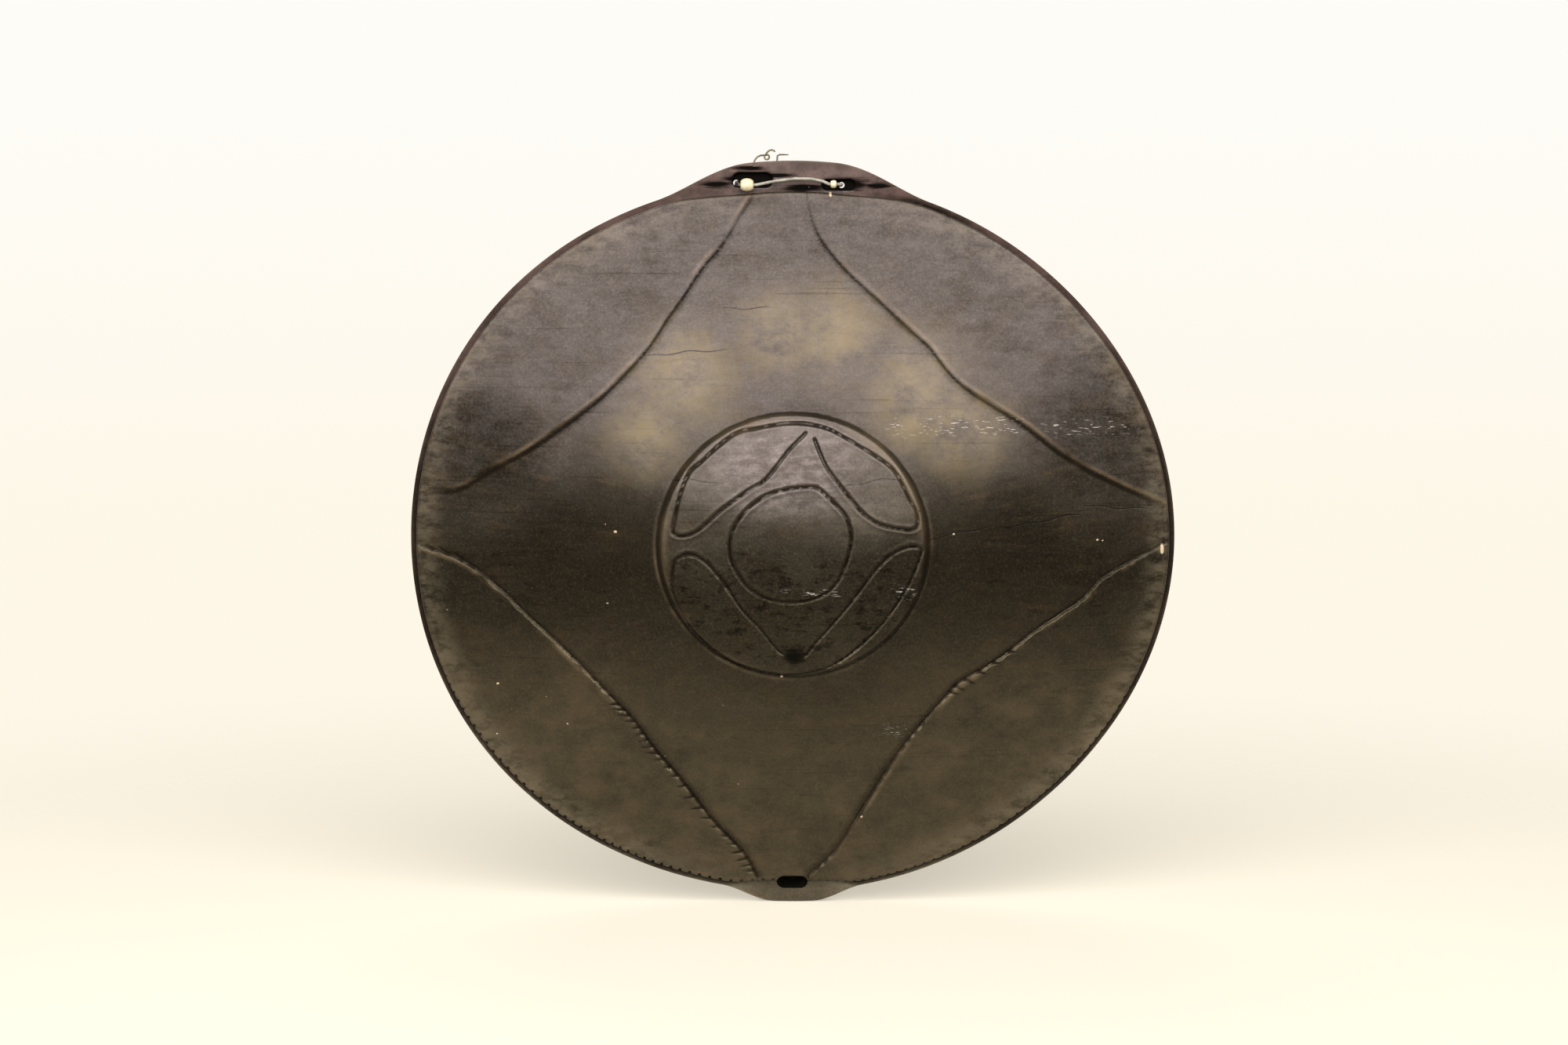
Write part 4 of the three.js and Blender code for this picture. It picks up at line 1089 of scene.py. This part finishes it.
coil_turns = np.linspace(0, 2 * math.pi * wire_coil_turns, 36 * wire_coil_turns + 1)
coil = np.column_stack([coil_start_across - coil_radius * coil_turns / (2 * math.pi),
                        back_line_up + coil_radius * np.cos(coil_turns),
                        wire_back_depth + coil_radius * np.sin(coil_turns)])
free_end = coil[0] + (coil[0] - coil[1]) / np.linalg.norm(coil[0] - coil[1]) * 1.5 * wire_diameter
coil_end = coil_start_across - coil_radius * wire_coil_turns
wire_route = rounded_route([
    (coil_end - wire_diameter, standing_line_up, wire_back_depth),
    (left_leg_across, standing_line_up, wire_back_depth),
    (left_leg_across, left_bead["up"], wire_front_depth),
    *[(place, lip_top + lift, wire_front_depth) for place, lift in front_arch],
    (right_leg_across, right_bead["up"], wire_front_depth),
    (right_leg_across, back_line_up, wire_back_depth),
    (wire_end_across, back_line_up, wire_back_depth)], wire_bend, 9)
wire_points = np.vstack([free_end, coil, wire_route])


def rounded_ends(points, radius):
    """Radius along a wire whose cut ends are filed round."""
    travelled = travelled_along(points)
    from_end = np.minimum(travelled, travelled[-1] - travelled)
    return radius * np.sqrt(np.clip(0.3 + 0.7 * from_end / radius, 0, 1))


wire_radius = rounded_ends(wire_points, wire_diameter / 2)
hanging_wire = closed_rings("hanging_wire_coated", tube_rings(wire_points, wire_radius, wire_sides))
pale_wire, tree, shader = new_material("pale_wire")
scratches = noise((260, 900, 900), 4, 0.7)
grime = noise((120, 120, 120), 3)
shade = layered(tint(fade(grime, 0.35, 0.7), colour(158, 157, 150), colour(118, 114, 106)), [
    (fade(scratches, 0.62, 0.72), 1, colour(76, 71, 64)),
    # painted shade where the wire goes into the left slot
    (marked("slot_shade"), 1, colour(30, 27, 23))])
dull = maths("ADD", weighed(grime, 0.3, 0.3), marked("slot_shade"))
set_inputs(shader, {"Base Color": shade, "Roughness": dull, "Normal": bump(scratches, 0.08, 0.6)})
wire_across, _, wire_depth = points_of(hanging_wire)
# Painted shade: the wire is darkened left of the left bead, where it goes into the slot
left_of_bead = smooth((left_bead["across"] - 4 - wire_across) / 3)
keep_on_points(hanging_wire, "slot_shade", left_of_bead * smooth((wire_depth - 8) / 4))
hanging_wire.data.materials.append(pale_wire)
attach(hanging_wire, "wire")
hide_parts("hanging_wire")

# The two beads
# Cream beads threaded on the wire, one at each hole: the left one is a barrel and the right one is small.
# Both are hand-made, a little out of round, and darker round and inside the bore.
bead_sides, bead_steps, bead_roundness_share = 36, 14, 0.92
cream_bead, tree, shader = new_material("cream_bead")
cloud = noise((160, 160, 160))
pits = noise((900, 900, 900), 3, 0.7)
shade = layered(tint(fade(cloud, 0.35, 0.68), colour(228, 217, 190), colour(204, 190, 158)), [
    (fade(pits, 0.6, 0.75), 0.6, colour(140, 116, 84)),
    (marked("bore"), 1, colour(70, 56, 42))])
set_inputs(shader, {"Base Color": shade, "Roughness": weighed(pits, 0.3, 0.2),
                    "Normal": bump(pits, 0.08, 0.5),
                    "Subsurface Weight": 0.15, "Subsurface Scale": 1.5 * millimetre})
for side_name, bead in (("left", left_bead), ("right", right_bead)):
    bore = wire_diameter / 2 + clearance
    outside = []
    for along in np.linspace(-bead["length"] / 2, bead["length"] / 2, bead_steps + 1):
        bulge = math.sqrt(1 - (bead_roundness_share * 2 * along / bead["length"]) ** 2)
        outside.append((along, mix(bore + 0.15, bead["radius"] - 0.1, bulge)))
    inside = [(bead["length"] / 2 - 0.1, bore), (-bead["length"] / 2 + 0.1, bore)]
    rings = turned_points(outside, bead_sides, bead["across"], bead["up"], wire_front_depth, 0.05, 9)
    rings += turned_points(inside, bead_sides, bead["across"], bead["up"], wire_front_depth, 0, 9)
    piece = closed_rings(f"stop_bead_{side_name}_moulded", rings, capped=False)
    ring_reach = np.array([size for _, size in outside + inside])
    keep_on_points(piece, "bore", np.repeat(1 - smooth((ring_reach - bore - 0.1) / 0.9), bead_sides))
    piece.data.materials.append(cream_bead)
    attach(piece, f"{side_name}_bead")
    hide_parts(f"stop_bead_{side_name}")

# The wire of the hanging eye
# Thin iron wire, oxidised dark olive, wound on the standing wire behind the lip and up through its notch.
# Above the lip it is bent into a small ring and an open loop that takes a nail.
eye_wire_diameter, eye_turns, eye_leg_left, eye_leg_right, eye_lean, eye_sides = 1.1, 3, -28, -11.4, 2, 12
small_ring = dict(across=-18.9, lift=2.9, radius=1.75, start_turn=108, turns=1.1)
eye_loop_above = [(-12.9, 6.5), (-13.7, 7.6), (-15.7, 8.1), (-17.8, 7.2), (-19.2, 5.6)]
eye_arc_left = [(-23.4, 4.1), (-25.6, 3.2), (-27.4, 1.2)]
eye_tail = [(-11.2, 3.9), (-9.4, 4.7), (-3.1, 4.6)]
wind_radius = wire_diameter / 2 + clearance + eye_wire_diameter / 2
leg_depth = wire_back_depth + wind_radius
head_depth = leg_depth + eye_lean
neck_depth = mix(leg_depth, head_depth, 0.9)
crossing = eye_wire_diameter + 2 * clearance
ring_share = np.linspace(0, 1, 33)
ring_turn = np.radians(small_ring["start_turn"] - 360 * small_ring["turns"] * ring_share)
ring_part = np.column_stack([small_ring["across"] + small_ring["radius"] * np.cos(ring_turn),
                             lip_top + small_ring["lift"] + small_ring["radius"] * np.sin(ring_turn),
                             head_depth + crossing * (0.5 - ring_share)])
wind_share = np.linspace(0, 1, 36 * eye_turns + 1)
wind_turn = 2 * math.pi * eye_turns * wind_share
winding = np.column_stack([mix(eye_leg_left, eye_leg_right, wind_share),
                           standing_line_up - wind_radius * np.sin(wind_turn),
                           wire_back_depth + wind_radius * np.cos(wind_turn)])


def head_part(table, depth):
    """Points above the lip at one depth, from rows of across and lift."""
    return [(place, lip_top + lift, depth) for place, lift in table]


eye_points = np.vstack([
    head_part(eye_loop_above, head_depth + crossing / 2), ring_part,
    head_part(eye_arc_left, head_depth - crossing / 2), [(eye_leg_left, lip_top, neck_depth)],
    [(eye_leg_left, standing_line_up + wire_bend, leg_depth)], winding,
    [(eye_leg_right, standing_line_up + wire_bend, leg_depth)], [(eye_leg_right, lip_top, neck_depth)],
    head_part(eye_tail, head_depth)])
eye_tube_radius = eye_wire_diameter / 2 + 0.12
eye_rings = tube_rings(eye_points, rounded_ends(eye_points, eye_tube_radius), eye_sides)
eye_wire = closed_rings("eye_wire_bent", eye_rings)
dark_iron, tree, shader = new_material("dark_iron")
rust = noise((300, 300, 300), 5, 0.7)
shade = tint(fade(rust, 0.35, 0.65), colour(84, 80, 62), colour(126, 118, 92))
set_inputs(shader, {"Base Color": shade, "Metallic": 0.3, "Roughness": weighed(rust, 0.3, 0.35),
                    "Normal": bump(rust, 0.08, 0.6)})
eye_wire.data.materials.append(dark_iron)
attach(eye_wire, "eye")
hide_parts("eye_wire")

# Stage: camera, floor, background and light
# The photograph was taken from 2.2 metres away and a little above the middle, under one large soft light.
camera_distance, camera_elevation = 2.2, 3.75
aim_across, aim_up = -6.4, 10
millimetres_per_pixel, image_width, sensor_width = 0.578, 2000, 36
aim = Vector(in_frame([(aim_across, aim_up, 0)])[0])


def facing_shield(name, data, azimuth, elevation, distance):
    """Camera or lamp that looks at the shield's middle, in degrees round it and above it, and in metres."""
    turn, rise = math.radians(azimuth), math.radians(elevation)
    away = Vector((math.sin(turn) * math.cos(rise), -math.cos(turn) * math.cos(rise), math.sin(rise)))
    made = put_in_scene(name, data)
    made.location = aim + away * distance
    made.rotation_mode = "QUATERNION"
    made.rotation_quaternion = (-away).to_track_quat("-Z", "Y")
    return made


camera_data = bpy.data.cameras.new("camera")
camera_data.sensor_width = sensor_width
camera_data.lens = sensor_width * camera_distance / (millimetres_per_pixel * millimetre * image_width)
bpy.context.scene.camera = facing_shield("camera", camera_data, 0, camera_elevation, camera_distance)
bpy.context.scene.view_settings.view_transform = "Standard"

floor_radius, floor_sides = 1.6, 64
floor_up = cad_box[0][2]
floor_mesh = bpy.data.meshes.new("floor")
floor_turns = np.linspace(0, 2 * math.pi, floor_sides, endpoint=False)
floor_mesh.from_pydata([(floor_radius * math.cos(turn), floor_radius * math.sin(turn), floor_up)
                        for turn in floor_turns], [], [list(range(floor_sides))])
floor = put_in_scene("floor", floor_mesh)
pale_floor, tree, shader = new_material("pale_floor")
place = add_node("ShaderNodeTexCoord").outputs["Object"]
from_middle = add_node("ShaderNodeVectorMath", {0: place, 1: (1, 1, 0)}, operation="MULTIPLY").outputs[0]
from_middle = add_node("ShaderNodeVectorMath", {0: from_middle}, operation="LENGTH").outputs["Value"]
hold = fade(from_middle, 0.9 * floor_radius, 0.1 * floor_radius)
set_inputs(shader, {"Base Color": colour(246, 241, 228), "Roughness": 0.9, "Alpha": times(hold, 0.55)})
floor.data.materials.append(pale_floor)

world = bpy.data.worlds.new("world")
bpy.context.scene.world = world
world.use_nodes = True
tree = world.node_tree
rays = add_node("ShaderNodeLightPath").outputs
direction = add_node("ShaderNodeTexCoord").outputs["Generated"]
directions = add_node("ShaderNodeSeparateXYZ", {0: direction}).outputs
paper = tint(fade(directions[2], -0.1, 0.1), colour(254, 247, 231), colour(254, 252, 247))
# The camera sees the pale ground all round, and gloss mirrors it behind the shield: the room in front is dim
mirrored = maths("MAXIMUM", rays["Is Glossy Ray"], rays["Is Transmission Ray"])
mirrored = times(mirrored, fade(directions[1], 0.2, 0.8))
seen = maths("MAXIMUM", rays["Is Camera Ray"], mirrored)
set_inputs(tree.nodes["Background"], {"Color": tint(seen, colour(60, 56, 48), paper), "Strength": 1.0})


def soft_light(name, azimuth, elevation, distance, width, height, watts, shade):
    """Large oval light that faces the middle of the shield."""
    light = bpy.data.lights.new(name, "AREA")
    light.shape, light.size, light.size_y = "ELLIPSE", width, height
    light.energy, light.color = watts, colour(*shade)[:3]
    facing_shield(name, light, azimuth, elevation, distance).visible_camera = False


soft_light("key", azimuth=0, elevation=32, distance=2.6, width=6.0, height=3.0, watts=213,
           shade=(255, 249, 239))
soft_light("back_fill", azimuth=190, elevation=38, distance=3.0, width=2.4, height=2.4, watts=30,
           shade=(255, 246, 234))
